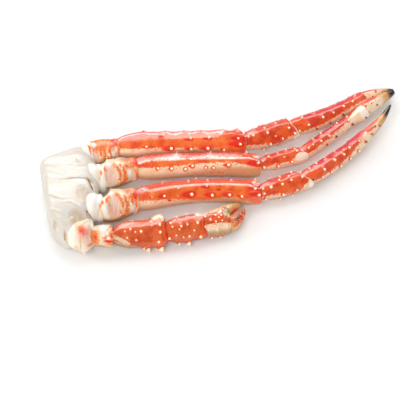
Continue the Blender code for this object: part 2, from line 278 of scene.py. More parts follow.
class Paintbox:
    """Adds nodes to one material. Every method hands back the socket that it made."""

    def __init__(self, name):
        self.material = bpy.data.materials.new(name)
        self.material.use_nodes = True
        self.tree = self.material.node_tree
        self.place = self.node("TexCoord", "Object")

    def put(self, socket, value):
        """Links a socket, or sets a plain value or a colour of six hex digits."""
        if isinstance(value, bpy.types.NodeSocket):
            self.tree.links.new(value, socket)
        else:
            socket.default_value = paint(value) if isinstance(value, str) else value

    def node(self, kind, output, inputs=(), **settings):
        """A node with its settings and its (input, value) pairs. Hands back one output."""
        node = self.tree.nodes.new("ShaderNode" + kind)
        for key, value in settings.items():
            setattr(node, key, value)
        for key, value in inputs:
            self.put(node.inputs[key], value)
        return node.outputs[output]

    def mark(self, name):
        """A zone that the mesh carries."""
        return self.node("Attribute", "Fac", attribute_name=name)

    def moved(self, shift, scale=(1.0, 1.0, 1.0)):
        """The place on the object, shifted and scaled."""
        pairs = ("Vector", self.place), ("Location", shift), ("Scale", scale)
        return self.node("Mapping", "Vector", pairs)

    def noise(self, grain, detail=3.0, seed=0.0, stretch=1.0, rough=0.5):
        """Soft noise with features about grain millimetres along the limbs and stretch times
        that round them."""
        place = self.moved((seed, 0.7 * seed, 1.3 * seed), (1.0, 1.0 / stretch, 1.0 / stretch))
        scale = 1.0 / (grain * MM)
        pairs = ("Vector", place), ("Scale", scale), ("Detail", detail), ("Roughness", rough)
        return self.node("TexNoise", "Fac", pairs)

    def dots(self, spacing, size, seed):
        """Round dots of the given size about spacing millimetres apart, one where they are."""
        pairs = ("Vector", self.moved((seed, 0.0, seed))), ("Scale", 1.0 / (spacing * MM))
        away = self.node("TexVoronoi", "Distance", pairs)
        return self.between(away, size / spacing, 0.5 * size / spacing)

    def sum(self, operation, first, second):
        """Arithmetic on two numbers."""
        return self.node("Math", "Value", ((0, first), (1, second)), operation=operation)

    def times(self, first, second):
        """The product of two numbers."""
        return self.sum("MULTIPLY", first, second)

    def between(self, value, low, high):
        """Zero at low, one at high, eased in between."""
        pairs = ("Value", value), ("From Min", low), ("From Max", high)
        return self.node("MapRange", "Result", pairs, interpolation_type="SMOOTHSTEP")

    def mix(self, share, under, over):
        """The colour under, covered by over as far as share says."""
        pairs = ("Factor", share), ("A", under), ("B", over)
        return self.node("Mix", "Result", pairs, data_type="RGBA")

    def ragged(self, name, grain, depth, soft, seed):
        """A mark whose border wanders by depth either way, on noise of the given grain."""
        wander = self.sum("SUBTRACT", self.noise(grain, 4.0, seed, 1.0, 0.65), 0.5)
        return self.between(self.sum("ADD", self.mark(name), self.times(wander, depth)), -soft, soft)

    def finish(self, colour, roughness, height, depth, coat, coat_roughness, glow, reach=2.0):
        """Joins the colour, roughness and bump to the shader. coat is the clear gloss on top,
        glow the share of light that travels inside, and reach how many millimetres it travels."""
        bump = self.node("Bump", "Normal", (("Distance", depth * MM), ("Height", height)))
        shader = self.tree.nodes["Principled BSDF"]
        for key, value in (
            ("Base Color", colour), ("Roughness", roughness), ("Normal", bump),
            ("Specular IOR Level", UNDER_COAT_GLOSS), ("Coat IOR", CLEAR_COAT_IOR),
            ("Coat Weight", coat), ("Coat Roughness", coat_roughness),
            ("Subsurface Weight", glow), ("Subsurface Radius", GLOW_REACH),
            ("Subsurface Scale", reach * MM),
        ):
            self.put(shader.inputs[key], value)
        return self.material


def shell_paint(name, back, side, belly, under, coat, depth):
    """Boiled shell. back, side, belly and under are its colours from the top of the limb round
    to its underside; under, the darker colour of the underside, is painted shade. Spine tips and
    rims are ivory, stains red and claw tips gold, then black."""
    box = Paintbox(name)
    mix, between, times, mark = box.mix, box.between, box.times, box.mark
    cloud = box.noise(14.0, 3.0, 0.3)
    fleck = box.noise(1.6, 4.0, 0.9)
    colour = mix(between(cloud, 0.38, 0.66), *side)
    colour = mix(between(mark("back"), 0.3, 0.95), colour, back)
    colour = mix(between(mark("back"), 1.0, 1.5), colour, "C41C2C")
    colour = mix(times(between(fleck, 0.55, 0.75), 0.35), colour, "F59A5C")
    # Pale pink specks on the top of each limb, where the mirrored band lies: partly the shell's real
    # granules, partly a painted sheen that breaks that band into specks.
    granules_and_sheen = between(box.noise(3.2, 4.0, 1.7, 0.7, 0.65), 0.54, 0.7)
    granules_and_sheen = times(granules_and_sheen, between(mark("back"), 0.2, 0.8))
    colour = mix(times(granules_and_sheen, 0.3), colour, "F6B9AC")
    cream = mix(between(cloud, 0.3, 0.7), belly, "F3CDA8")
    # Towards the underside the cream turns to the darker under colour: painted shade.
    cream = mix(between(mark("back"), -0.3, -1.0), cream, under)
    cream = mix(times(box.dots(7.0, 1.3, 0.2), 0.6), cream, "D2603C")
    near_border = between(mark("belly"), 6.5, 0.5)
    cream = mix(times(box.dots(2.9, 1.1, 0.6), near_border), cream, "DE5B2A")
    colour = mix(box.ragged("belly", 4.0, 8.0, 0.9, 0.5), colour, cream)
    colour = mix(times(between(mark("black"), -1.3, -0.45), 0.85), colour, "D08F3A")
    colour = mix(between(mark("black"), -0.45, 0.0), colour, "5E2C10")
    stain = mix(between(mark("red"), 0.25, 0.9), "EE5A1E", "DC2E1C")
    colour = mix(box.ragged("red", 2.5, 0.5, 0.3, 0.1), colour, stain)
    ivory = mix(between(mark("pale"), 0.6, 1.4), "F5E8D6", "FCE8B8")
    colour = mix(box.ragged("pale", 2.0, 0.3, 0.25, 0.2), colour, ivory)
    colour = mix(box.ragged("black", 3.0, 0.3, 0.25, 0.4), colour, "0D0A08")
    grain = box.sum("ADD", fleck, times(box.noise(5.0, 2.0, 0.6), 3.0))
    return box.finish(colour, between(fleck, -0.9, 1.9), grain, depth, coat, 0.14, 0.06)


def joint_paint(name, ground, cloudy, thin, grain_depth):
    """The pale, mottled shell of the joints beside the shoulder: a cream ground, orange blotches,
    thin striped windows, white rims, and dark tan painted into the creases, grooves and undersides
    as painted shade; a few spots of that tan are the shell's own."""
    box = Paintbox(name)
    colour = box.mix(box.between(box.noise(9.0, 3.0, 0.3), 0.35, 0.7), ground, cloudy)
    veil = box.mix(box.between(box.noise(1.8, 2.0, 0.2, 7.0), 0.35, 0.65), *thin)
    blotch = box.between(box.noise(1.8, 4.0, 0.8, 1.0, 0.7), 0.38, 0.66)
    for zone, grain, depth, soft, seed, over in (
        ("window", 5.0, 0.5, 0.6, 0.5, veil),
        ("orange", 2.0, 4.4, 0.8, 0.1, box.mix(blotch, "E8560F", "F2A05A")),
        ("red", 3.0, 0.9, 0.6, 0.1, "E0331A"),
        ("pale", 3.0, 0.6, 0.6, 0.7, "EAE6DE"),
        # Dark tan, put in creases, grooves and on undersides: painted shade; a few spots of it are the
        # shell's own tan.
        ("brown", 3.0, 0.6, 0.7, 0.2, "A8762F"),
    ):
        colour = box.mix(box.ragged(zone, grain, depth, soft, seed), colour, over)
    grain = box.noise(2.0, 4.0, 0.9)
    return box.finish(colour, box.between(grain, -0.9, 1.7), grain, grain_depth, 0.16, 0.2, 0.3, 4.0)


# The fifth entry of each row, under, is the darker underside: painted shade.
PAINTS = {row[0]: shell_paint(*row) for row in (
    ("shell", "DB4128", ("EE742C", "DF4C1C"), "F8DCBC", "CF9468", 0.36, 0.3),
    ("thorny_shell", "D23A28", ("E66028", "D03B1B"), "F4D6B8", "E6B594", 0.27, 0.36),
    # The claw's colours are darker than the legs': partly its own redder shell, partly painted shade
    # for the shade that it lies in under the third leg.
    ("claw_shell", "D4522A", ("D4602A", "BE431B"), "CDBE9C", "A47C4E", 0.26, 0.28),
    ("tip", "E8805C", ("E0B889", "D29A68"), "F3E3CB", "CFA070", 0.2, 0.2),
)}
PAINTS |= {row[0]: joint_paint(*row) for row in (
    ("joint", "E9D8BD", "E8C69D", ("E8C9BE", "DDB99C"), 0.2),
    ("shoulder", "D2CFC8", "D2C9BA", ("C8BAAA", "BBA98F"), 0.2),
)}
SHELL_MARKS = "back", "belly", "red", "pale", "black"
JOINT_MARKS = "window", "orange", "red", "pale", "brown"
NOWHERE = -9.0  # a mark's value where its zone is absent
print("finishes:", ", ".join(PAINTS))

# %% [markdown]
# ## From a formula to a mesh
# A grid of points becomes a closed skin when its last column meets its first and each end closes
# on one point, like the poles of a globe. The same routine takes one grid or hundreds at once, so
# a whole row of spines costs one call.

# %% Grids into meshes
def closed_grids(points):
    """Corners of quads and triangles for count grids of rows x columns points, points having the
    shape (count, rows, columns, 3). Returns the points with two poles a grid, then the faces."""
    count, rows, columns, _ = points.shape
    poles = points[:, (0, -1)].mean(axis=2)
    solid = np.concatenate([points.reshape(count, -1, 3), poles], axis=1)
    row, column = np.meshgrid(np.arange(rows - 1), np.arange(columns), indexing="ij")
    here = row * columns + column
    beside = row * columns + (column + 1) % columns
    quads = np.stack([here, beside, beside + columns, here + columns], axis=-1).reshape(-1, 4)
    edge, after = np.arange(columns), (np.arange(columns) + 1) % columns
    last = (rows - 1) * columns
    low = np.stack([after, edge, np.full(columns, rows * columns)], axis=-1)
    high = np.stack([last + edge, last + after, np.full(columns, rows * columns + 1)], axis=-1)
    triangles = np.concatenate([low, high])
    step = (np.arange(count) * solid.shape[1])[:, None, None]
    return solid.reshape(-1, 3), (quads + step).reshape(-1, 4), (triangles + step).reshape(-1, 3)


def face_outwards(points, quads, triangles):
    """Turns every face round if the enclosed volume comes out negative."""
    halves = np.concatenate([quads[:, :3], quads[:, (0, 2, 3)], triangles])
    a, b, c = (points[halves[:, corner]] for corner in range(3))
    if np.einsum("ij,ij->", np.cross(a, b), c) < 0:
        return quads[:, ::-1], triangles[:, ::-1]
    return quads, triangles


def spread(values, shape):
    """A mark's number for every point of some grids, then for their poles."""
    values = np.broadcast_to(values, shape)
    poles = values[:, (0, -1)].mean(axis=2)
    return np.concatenate([values.reshape(shape[0], -1), poles], axis=1).ravel()


def make_piece(name, layers, finish):
    """One object from several closed grids. Each layer is (points, marks); marks hold a number
    for every point. The piece rides on the root body, and stands for the CAD node whose name it
    carries with _shell added."""
    solids = [closed_grids(grid) for grid, _ in layers]
    faces = [face_outwards(*solid) for solid in solids]
    firsts = np.cumsum([0, *(len(solid[0]) for solid in solids)])
    points = np.concatenate([solid[0] for solid in solids]) * MM
    quads = np.concatenate([face[0] + first for face, first in zip(faces, firsts)])
    triangles = np.concatenate([face[1] + first for face, first in zip(faces, firsts)])
    mesh = bpy.data.meshes.new(name)
    mesh.vertices.add(len(points))
    mesh.vertices.foreach_set("co", points.astype(np.float32).ravel())
    corners = np.concatenate([quads.ravel(), triangles.ravel()]).astype(np.int32)
    sizes = np.concatenate([np.full(len(quads), 4), np.full(len(triangles), 3)])
    starts = np.concatenate([[0], np.cumsum(sizes)[:-1]]).astype(np.int32)
    mesh.loops.add(len(corners))
    mesh.loops.foreach_set("vertex_index", corners)
    mesh.polygons.add(len(sizes))
    mesh.polygons.foreach_set("loop_start", starts)
    mesh.update(calc_edges=True)
    mesh.validate()
    mesh.shade_smooth()
    for key in JOINT_MARKS if finish in ("joint", "shoulder") else SHELL_MARKS:
        spreads = [spread(marks.get(key, NOWHERE), grid.shape[:3]) for grid, marks in layers]
        values = np.concatenate(spreads).astype(np.float32)
        mesh.attributes.new(key, "FLOAT", "POINT").data.foreach_set("value", values)
    mesh.materials.append(PAINTS[finish])
    piece = put_in_scene(name, mesh)
    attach(piece, "root")
    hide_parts(name.removesuffix("_shell"))
    print(name, len(points), "points")
    return piece


print("mesh tools ready")

# %% [markdown]
# ## The skin of a tube
# A tube's cross-section swells and narrows between a few stations along it. Straight lines
# between stations would show as facets, and a spline can overshoot, so the values are averaged
# over a short window. On that plain tube sit the real things: a lip round the open end, bumps
# under the spines, keels along it. Each only says how far the skin stands off.

# %% The skin of one segment
EASE = 0.035  # half the window over which a profile is averaged
NECK = ((-4.0, 1.0), (-4.6, 0.7), (-4.8, 0.05))  # mm before the joint, share of the neck
MOUTH = ((0.5, 0.985), (0.7, 0.955), (0.2, 0.92), (-2.6, 0.89), (-5.0, 0.6), (-5.2, 0.05))


def rise(values, low, high):
    """Zero below low, one above high, with the smooth step x x (3 - 2x) between."""
    x = np.clip((values - low) / (high - low), 0, 1)
    return x * x * (3 - 2 * x)


def eased(t, stations, values):
    """The values at t: straight between the stations, then averaged over a window."""
    window = np.linspace(-EASE, EASE, 9)
    return sum(np.interp(t + step, stations, values) for step in window) / len(window)


class Skin:
    """The grid of one segment: t runs along it, and angle round it from the upper edge towards
    the front. lift is how far the skin stands off, and slide how far it is drawn forwards. The
    profile's rows are a place, and the deep and the flat radius there as shares of the girth."""

    def __init__(self, segment, girth, profile, rows, columns, mouth=MOUTH):
        self.segment = segment
        places, deep, flat = np.transpose(profile)
        body = np.linspace(NECK[0][0] / segment.length, 1.0, rows)
        before, after = np.array(NECK[:0:-1]), np.array(mouth)
        t = [before[:, 0] / segment.length, body, 1 + after[:, 0] / segment.length]
        self.cap = np.concatenate([before[:, 1], np.ones(rows), after[:, 1]])[:, None]
        angles = np.linspace(0, 2 * math.pi, columns, endpoint=False)
        self.t, self.angle = np.meshgrid(np.concatenate(t), angles, indexing="ij")
        self.inside = np.arange(len(self.t))[:, None] >= len(before) + rows
        self.deep = girth * eased(self.t, places, deep) * self.cap
        self.flat = girth * eased(self.t, places, flat) * self.cap
        self.radius = 0.5 * (self.deep + self.flat)
        self.lift = np.zeros_like(self.t)
        self.slide = np.zeros_like(self.t)
        self.marks = {"back": np.cos(self.angle)}

    def turn(self, degrees):
        """How far round the tube each point lies from one angle, between -pi and pi."""
        return (self.angle - math.radians(degrees) + math.pi) % (2 * math.pi) - math.pi

    def away(self, place, degrees):
        """Distances in mm from one place on the skin, along it and round it."""
        return (self.t - place) * self.segment.length + self.slide, self.turn(degrees) * self.radius

    def dome(self, place, degrees, along, round_, tail=1.0):
        """A smooth hill, one at its top: exp(-(x/along)^2 - (y/round)^2). tail stretches the side
        towards the body."""
        x, y = self.away(place, degrees)
        x = np.where(x < 0, x / tail, x)
        return np.exp(-((x / along) ** 2) - (y / round_) ** 2)

    def keel(self, degrees, width):
        """A ridge along the segment: exp(-(turn/width)^2) round one angle."""
        return np.exp(-((self.turn(degrees) / math.radians(width)) ** 2))

    def span(self, first, last, soft=0.03):
        """One between two places along the segment, eased to zero outside."""
        start, end = (self.t - first) / soft + 0.5, (last - self.t) / soft + 0.5
        return rise(start, 0, 1) * rise(end, 0, 1)

    def facet(self, degrees, half, share):
        """Flattens the skin between two edges, half to either side of one angle: on a circle the
        straight line between them lies radius * (1 - cos(half) / cos(turn)) below the arc."""
        inside = np.minimum(np.abs(self.turn(degrees)), math.radians(half))
        self.lift -= share * self.radius * (1 - math.cos(math.radians(half)) / np.cos(inside))

    def waves(self, seed, depth, reach=(3, 12), turns=6):
        """A slight unevenness: a sum of seven waves, sin(along / length + turns * angle + shift),
        whose turns are whole so that the seam closes. reach is the range of their lengths."""
        draw = np.random.default_rng(seed)
        for _ in range(7):
            along = self.t * self.segment.length / draw.uniform(*reach)
            wave = along + draw.integers(1, turns) * self.angle + draw.uniform(0, 6.3)
            self.lift += depth * np.sin(wave) / 7

    def add_mark(self, name, values):
        """Adds to a zone, keeping the larger number where two overlap."""
        self.marks[name] = np.maximum(self.marks.get(name, NOWHERE), values)

    def shade(self, values):
        """Adds to the mark of the back, where more is redder and less turns to the darker
        under colour, which is painted shade.
        """
        self.marks["back"] = self.marks["back"] + values

    def domes(self, text):
        """Domes from a table: lift or a zone, strength, place, angle, size along and round. Lift
        adds strength * dome to the skin. A zone is marked with strength * dome less one, or less
        the number that ends the row."""
        for what, strength, *numbers in (row.split() for row in text.split(",")):
            place, degrees, along, round_, less = (*map(float, numbers), 1.0)[:5]
            dome = float(strength) * self.dome(place, degrees, along, round_)
            if what == "lift":
                self.lift += dome
            else:
                self.add_mark(what, dome - less)

    def cream_belly(self, front, back=238.0):
        """Marks the cream underside: millimetres past its border, which runs at the angles that
        front gives along the segment, and at one angle behind."""
        border = np.radians(eased(self.t, *np.transpose(front)))
        past = np.minimum(self.angle - border, math.radians(back) - self.angle)
        self.marks["belly"] = past * self.radius

    def points(self):
        """Middle line + deep cos(angle) + front sin(angle) + outward lift + forward slide."""
        deep_way, front_way, forward = self.segment.directions(self.t)
        cos, sin = np.cos(self.angle)[..., None], np.sin(self.angle)[..., None]
        deep, flat = self.deep[..., None], self.flat[..., None]
        deep_share, flat_share = cos / np.maximum(deep, 0.1), sin / np.maximum(flat, 0.1)
        self.outward = unit(deep_way * deep_share + front_way * flat_share)
        self.forward = forward
        self.skin = (
            self.segment.line(self.t) + deep_way * deep * cos + front_way * flat * sin
            + self.outward * (self.lift * self.cap)[..., None] + forward * self.slide[..., None]
        )
        return self.skin

    def nearest(self, place, degrees):
        """Row and column of the grid point nearest to each place."""
        offs = (self.away(*where) for where in zip(place, degrees))
        best = [int(np.argmin(x * x + y * y + 1e6 * (self.cap < 0.99))) for x, y in offs]
        return np.unravel_index(best, self.t.shape)

    def layer(self):
        """This skin as one closed grid with its marks, for make_piece."""
        return self.points()[None], {key: value[None] for key, value in self.marks.items()}


# %% [markdown]
# ## Thorns
# King crabs are covered in blunt thorns. Each stands on a low mound of shell, leans towards the
# tip of the leg and ends in ivory. Boiling draws a red stain out of its foot, mostly towards the
# body. A thorn could be an instance of one cone. Here all the thorns of a segment are one
# calculation: a short profile turned about as many axes as there are thorns.

# %% Thorns, mounds and stains
THORN_SIDES = 8
THORN_PROFILE = table("-.5 1.2, 0 1.05, .4 .88, .72 .6, .93 .28")  # height, radius, as shares
THORN_GIRTH = 0.58  # radius at the foot against the height
THORN_LEAN = 0.5  # how far the axis leans forwards
MOUND = 0.42  # height of the mound against the thorn's
STAIN_TAIL = 2.2  # how much longer a stain is towards the body
UNSEEN = 248.0, 340.0  # range of the angles that face away


def thorns_on(skin, rows, tip):
    """Blunt thorns on a skin: foot + axis * height * z + radius * r * (across cos + beside sin)
    for each (z, r) of the profile. tip names the mark that their points wear."""
    place, degrees, height, _ = np.transpose(rows)
    row, column = skin.nearest(place, degrees)
    foot = skin.skin[row, column]
    forward = skin.forward[row, column]
    axis = unit(skin.outward[row, column] + THORN_LEAN * forward)
    across = unit(np.cross(axis, forward))
    beside = np.cross(axis, across)
    z, r = np.transpose(THORN_PROFILE)
    turn = np.linspace(0, 2 * math.pi, THORN_SIDES, endpoint=False)[:, None]
    ring = across[:, None, None] * np.cos(turn) + beside[:, None, None] * np.sin(turn)
    size = height[:, None, None, None]
    stem = axis[:, None, None] * size * z[:, None, None]
    points = foot[:, None, None] + stem + ring * size * THORN_GIRTH * r[:, None, None]
    tips = np.broadcast_to((4 * z - 0.5)[None, :, None], points.shape[:3])
    return points, {tip: tips, "back": np.zeros(points.shape[:3])}


def grow(name, skin, thorns, finish, dark=(), more=()):
    """One piece: the skin with a mound and a red stain under each thorn, then the thorns. Rows
    hold (place, degrees, height, stain), where stain scales the stain and 0 leaves it out. dark
    thorns have black tips. more holds further layers."""
    for place, degrees, height, stain in (*thorns, *dark):
        skin.lift += MOUND * height * skin.dome(place, degrees, 1.2 * height, 1.2 * height)
        ring = 2 * skin.dome(place, degrees, 1.2 * height + 0.1, 1.1 * height + 0.1) - 1
        skin.add_mark("orange" if finish == "joint" else "red", np.minimum(ring, 0.3))
        if stain:
            size = max(height, 1.5) * stain
            spot = skin.dome(place, degrees, 1.2 * size, 0.85 * size, STAIN_TAIL)
            skin.add_mark("red", (1.6 + 0.8 * stain) * spot - 1)
    layers = [skin.layer()]
    for rows, tip in ((thorns, "pale"), (dark, "black")):
        standing = [row for row in rows if row[2] > 0]
        if standing:
            layers.append(thorns_on(skin, standing, tip))
    return make_piece(name, [*layers, *more], finish)


def unseen_thorns(seed, count, height):
    """Thorns for the side that faces away, scattered evenly with a fixed seed."""
    draw = np.random.default_rng(seed)
    places = (np.arange(count) + draw.uniform(0.2, 0.8, count)) / count
    degrees = draw.uniform(*UNSEEN, count)
    heights = height * draw.uniform(0.6, 1.0, count)
    return np.stack([places, degrees, heights, np.full(count, 0.8)], axis=1).tolist()


print("thorn of", THORN_SIDES * len(THORN_PROFILE) + 2, "points")

# %% [markdown]
# ## The meri
# The merus is the long thick tube next to the joints at the shoulder, and holds most of the meat.
# It is a little hump-backed, carries one row of large thorns along its front and smaller ones
# along its back edge, and opens in a flared mouth whose top corner reaches out over the next
# joint. From a certain place on its upper front is flat with a keel below, which catches the
# light as a bright line.

# %% Meri of the three legs
MERUS = table("""
0 .7 .62, .03 .88 .76, .12 1 .86, .32 .97 .84, .55 .92 .8, .82 .97 .84, .94 1.02 .9, 1 .82 .74""")
MERUS_GIRTH = by_leg(17.0, 17.2, 17.4)
MERUS_BORDER = table("""
0 98, .15 100, .3 108, .6 118, .85 122, .93 150, .97 230;
0 84, .15 92, .3 92, .5 84, .75 76, .92 88, 1 100;
.02 94, .15 106, .4 126, .58 142, .76 118, .93 130, 1 210""")
# Painted shade: how far the far end of each belly turns to the darker under colour.
BELLY_SHADE = by_leg(0.2, 0.7, 0.3)  # how much browner the belly's far end is
KEEL_FROM = by_leg((0.78, 0.92), (0.80, 0.94), (0.04, 0.16))  # where the keel starts and is full
BROW = by_leg((44, 26), (32, 31), (44, 26))  # angle and half width of the flat before that
# Angle and half width of the flat, angle and height of the keel.
KEEL = by_leg((6, 44, 54, 2.6), (14, 36, 67, 1.5), (14, 38, 72, 1.7))
PLAIN_MOUTH = by_leg((190, 50), (150, 62), (185, 45))  # angle and width without the red edge
MERUS_THORNS = table("""
.21 97 3 .9, .29 104 1.5 .8, .41 112 4.2 1.3, .57 120 3.4 1.1, .71 117 4.2 1.3, .84 126 3.2 .9,
.34 43 2.6 1.4, .57 69 2 1.9, .72 69 2 1.9, .94 72 3 1.5, .95 98 3.6 1.7, .21 0 2 0, .38 10 2 0,
.53 15 2 0, .66 20 1.8 0, .83 12 2 0, .95 0 2.2 0;
.03 68 1.2 .6, .13 53 2 .8, .17 96 3 .5, .23 63 1.6 .7, .29 101 3.8 .6, .41 108 3.6 .4,
.43 55 2.2 .5, .47 94 3.6 .8, .5 132 0 .5, .58 103 3 .5, .63 134 0 .9, .64 104 3 .5, .69 131 0 .8,
.72 133 0 .8, .76 91 4.2 .8, .97 79 3.6 1.6, .35 8 1.8 0, .62 5 1.8 0, .9 5 2.2 0;
.09 56 1.6 1, .11 87 1.8 1, .22 92 3.4 1.3, .27 120 0 1.1, .34 105 1.4 .9, .35 69 2 .6,
.46 102 4.2 1.6, .59 69 1.6 2.2, .63 109 3.8 1.4, .69 84 0 1.4, .69 62 1.6 .6, .77 107 3.6 1.4,
.8 65 1.6 .6, .87 110 3.4 1, .95 73 3 1.4, .97 99 3.6 1.4, .24 5 2 0, .45 15 2 0, .6 21 2 0,
.78 26 2 0, .97 0 2.4 0""")


def merus(leg, seed):
    """The tube, with a hump, flats, keels, a flared mouth and its top corner drawn forwards."""
    skin = Skin(limbs[leg]["merus"], MERUS_GIRTH[leg], MERUS, 190, 128)
    keel = skin.keel
    skin.waves(seed, 0.35)
    skin.waves(seed + 70, 0.13, (0.9, 2.2), 14)
    skin.cream_belly(MERUS_BORDER[leg])
    keeled = rise(skin.t, *KEEL_FROM[leg])
    flat, half, edge, height = KEEL[leg]
    skin.facet(*BROW[leg], 0.62 * (1 - keeled))
    skin.facet(flat, half, 0.95 * keeled)
    skin.facet(98, 30, 0.35)
    skin.lift += height * keeled * keel(edge, 14)
    end = rise(skin.t, 0.90, 0.985)
    skin.lift += end * (1.4 * keel(2, 26) + 1.2 * keel(78, 26) + 0.8 * keel(112, 24))
    skin.lift -= 1.3 * (leg != "leg_1") * rise(skin.t, 0.93, 0.99) * keel(40, 18)
    skin.slide += end * (3.4 * keel(4, 30) + 2.6 * keel(88, 34) - 2.0 * keel(44, 16) - 3.4)
    for place, degrees, *_ in MERUS_THORNS[leg]:
        skin.lift += 0.9 * (degrees < 30) * skin.dome(place, degrees, 6, 7, 1.5)
    if leg == "leg_1":
        skin.lift += 3.4 * skin.dome(0.955, 6, 9, 12, 2.2)
        skin.domes("lift 1.6 .2 5 26 14, red 2.4 .95 40 12 7")
    if leg == "leg_3":
        skin.domes("pale .85 .12 76 13 8 .98")
    # The belly's far end is painted darker, as painted shade.
    skin.shade(-BELLY_SHADE[leg] * rise(skin.t, 0.3, 0.95) * keel(125, 50))
    rough_edge = 0.35 * np.cos(5 * skin.angle) + 0.25 * np.cos(9 * skin.angle + seed)
    skin.add_mark("red", 24 * (skin.t - 0.962) + rough_edge - 2.4 * keel(*PLAIN_MOUTH[leg]))
    skin.domes("red 1.7 .955 26 11 9, red 1.6 0 46 5 9, pale 1.7 1 2 1.4 4")
    skin.add_mark("pale", np.where(skin.inside, 0.2, NOWHERE))
    thorns = [*MERUS_THORNS[leg], *unseen_thorns(seed, 11, 2.6)]
    return grow(leg + "_merus_shell", skin, thorns, "shell")


for order, leg in enumerate(LEGS):
    merus(leg, order)

# %% [markdown]
# ## Carpi and propodi
# The carpus is the short elbow after the merus, and the propodus the long shin after it. Both are
# thornier than the merus. A carpus ends in a pale rim with two corners that grip the propodus; a
# propodus is crimson above, and the thorns along its lower edge have dark tips.

# %% Carpi of the three legs
CARPUS = table("0 .64 .56, .06 .76 .66, .22 .9 .78, .48 1 .84, .74 1 .86, .92 1.03 .9, 1 .9 .8")
CARPUS_GIRTH = by_leg(16.6, 12.2, 14.8)
CARPUS_BORDER = table("""
0 118, .35 126, .5 150, .7 146, .9 118, 1 104;
0 112, .4 106, .6 112, .8 92, 1 78;
0 122, .35 120, .5 140, .75 150, .9 104, 1 84""")
PALE_CORNER = by_leg(  # place, angle, size along and round, strength
    (0.96, 138, 5, 4, 2.2), (0.89, 98, 9, 5.5, 2.8), (0.96, 122, 4, 8, 1.5)
)
SLANT = by_leg(6.0, 3.0, 10.0)  # mm that the joint after the carpus leans back on top
CARPUS_THORNS = table("""
.05 60 3 .5, .14 65 3 .6, .3 160 3.6 .5, .4 43 2.6 .5, .41 75 3.6 .6, .43 132 3.2 .5,
.62 170 2.8 .4, .65 31 2.6 .5, .68 122 2.8 .5, .84 79 3.2 .6, .92 112 3.4 .6, .22 10 2.4 0,
.48 5 2.6 0, .72 0 2.8 0, .9 8 2.8 0, .56 100 2 .5;
.04 62 2.6 .5, .05 112 3.4 .5, .18 41 3 .5, .34 121 3.2 .4, .42 24 2 .4, .5 75 2 .4, .65 115 2.6 .4,
.79 34 2.6 .5, .8 59 3.2 .6, .62 8 2.2 0, .86 5 2.4 0, .3 160 2.2 0;
.03 96 3 .6, .03 63 2.8 .5, .05 142 2.6 .4, .18 70 3.8 .6, .34 165 2.8 .4, .38 49 3 .5,
.39 130 3.4 .5, .41 74 3 .5, .59 41 2.6 .5, .59 154 2.6 .4, .61 69 2.8 .5, .68 124 2.8 .4,
.7 9 3.2 .3, .84 67 3.2 .6, .45 12 2.4 0, .9 20 2.6 0""")


def carpus(leg, seed):
    """The tube, with flats and a crest along its upper edge, and a pale rim whose lower corner
    reaches forwards past the joint."""
    skin = Skin(limbs[leg]["carpus"], CARPUS_GIRTH[leg], CARPUS, 110, 112)
    keel = skin.keel
    skin.waves(seed, 0.5)
    skin.cream_belly(CARPUS_BORDER[leg])
    skin.facet(14, 38, 0.8 * rise(skin.t, 0.1, 0.35))
    skin.facet(96, 32, 0.4)
    place, degrees, along, around, strength = PALE_CORNER[leg]
    corner = skin.dome(place, degrees, along, around)
    skin.slide -= SLANT[leg] * keel(8, 52) * rise(skin.t, 0.5, 1.0)
    end = rise(skin.t, 0.84, 0.98)
    skin.slide += end * (1.5 * keel(15, 30) + 3.4 * keel(degrees, 30) - 2.4 * keel(62, 20) - 1.6)
    skin.lift += end * (1.0 * keel(15, 34) + 1.2 * keel(degrees, 30)) + 0.8 * corner
    skin.add_mark("pale", np.minimum(strength * corner - 1, 0.5))
    skin.add_mark("pale", 45 * (skin.t - 0.986) - 0.3 + 0.5 * keel(degrees, 40))
    thorns = [*CARPUS_THORNS[leg], *unseen_thorns(seed + 10, 7, 2.8)]
    return grow(leg + "_carpus_shell", skin, thorns, "thorny_shell")


for order, leg in enumerate(LEGS):
    carpus(leg, order)

# %% Propodi of the three legs
PROPODUS = table("0 .76 .66, .06 .95 .8, .2 1 .84, .46 .96 .78, .72 .86 .72, .92 .8 .8, 1 .66 .66")
PROPODUS_GIRTH = by_leg(14.0, 10.6, 13.0)
PROPODUS_BORDER = table("""
0 128, .3 118, .6 100, .8 88, .95 92, 1 100;
0 100, .4 84, .6 76, .72 54, .82 10, 1 -30;
0 120, .3 112, .6 100, .75 80, .9 48, 1 34""")
PROPODUS_THORNS = table("""
.03 116 2.8 0, .11 41 3 .5, .15 95 3.2 .4, .29 12 2.8 .9, .35 78 3.4 .4, .5 77 2.4 .5,
.66 66 3.2 .4, .8 63 3 .4, .46 8 2 .8, .6 5 2 .8, .75 5 2 .8, .9 20 2.2 .4;
.05 60 2.4 .4, .12 57 2.4 .5, .24 69 3 .4, .32 12 2.4 .9, .37 73 3.2 .4, .58 14 2.6 .9,
.71 60 2.8 .4, .74 20 2.8 .8, .2 5 2.2 .8;
.04 20 2.8 .6, .15 14 3 .6, .18 79 3.2 .5, .3 5 2.6 .6, .35 65 3.6 .6, .5 67 3 .5, .54 42 2.6 .5,
.62 54 3.4 .5, .8 60 2.4 .3, .46 0 2 .6, .13 114 2.6 0, .26 114 2.8 0, .4 118 3 0, .57 118 3 0,
.73 116 3 0""")
PROPODUS_DARK = table("""
.25 134 2.2 0, .43 128 2.2 0, .62 110 2.4 0, .85 118 2.2 0;
.3 118 2.2 0, .46 109 2.6 0, .74 109 2.6 0, .93 120 2.4 0;
.02 100 2.4 0, .88 92 2.6 0""")


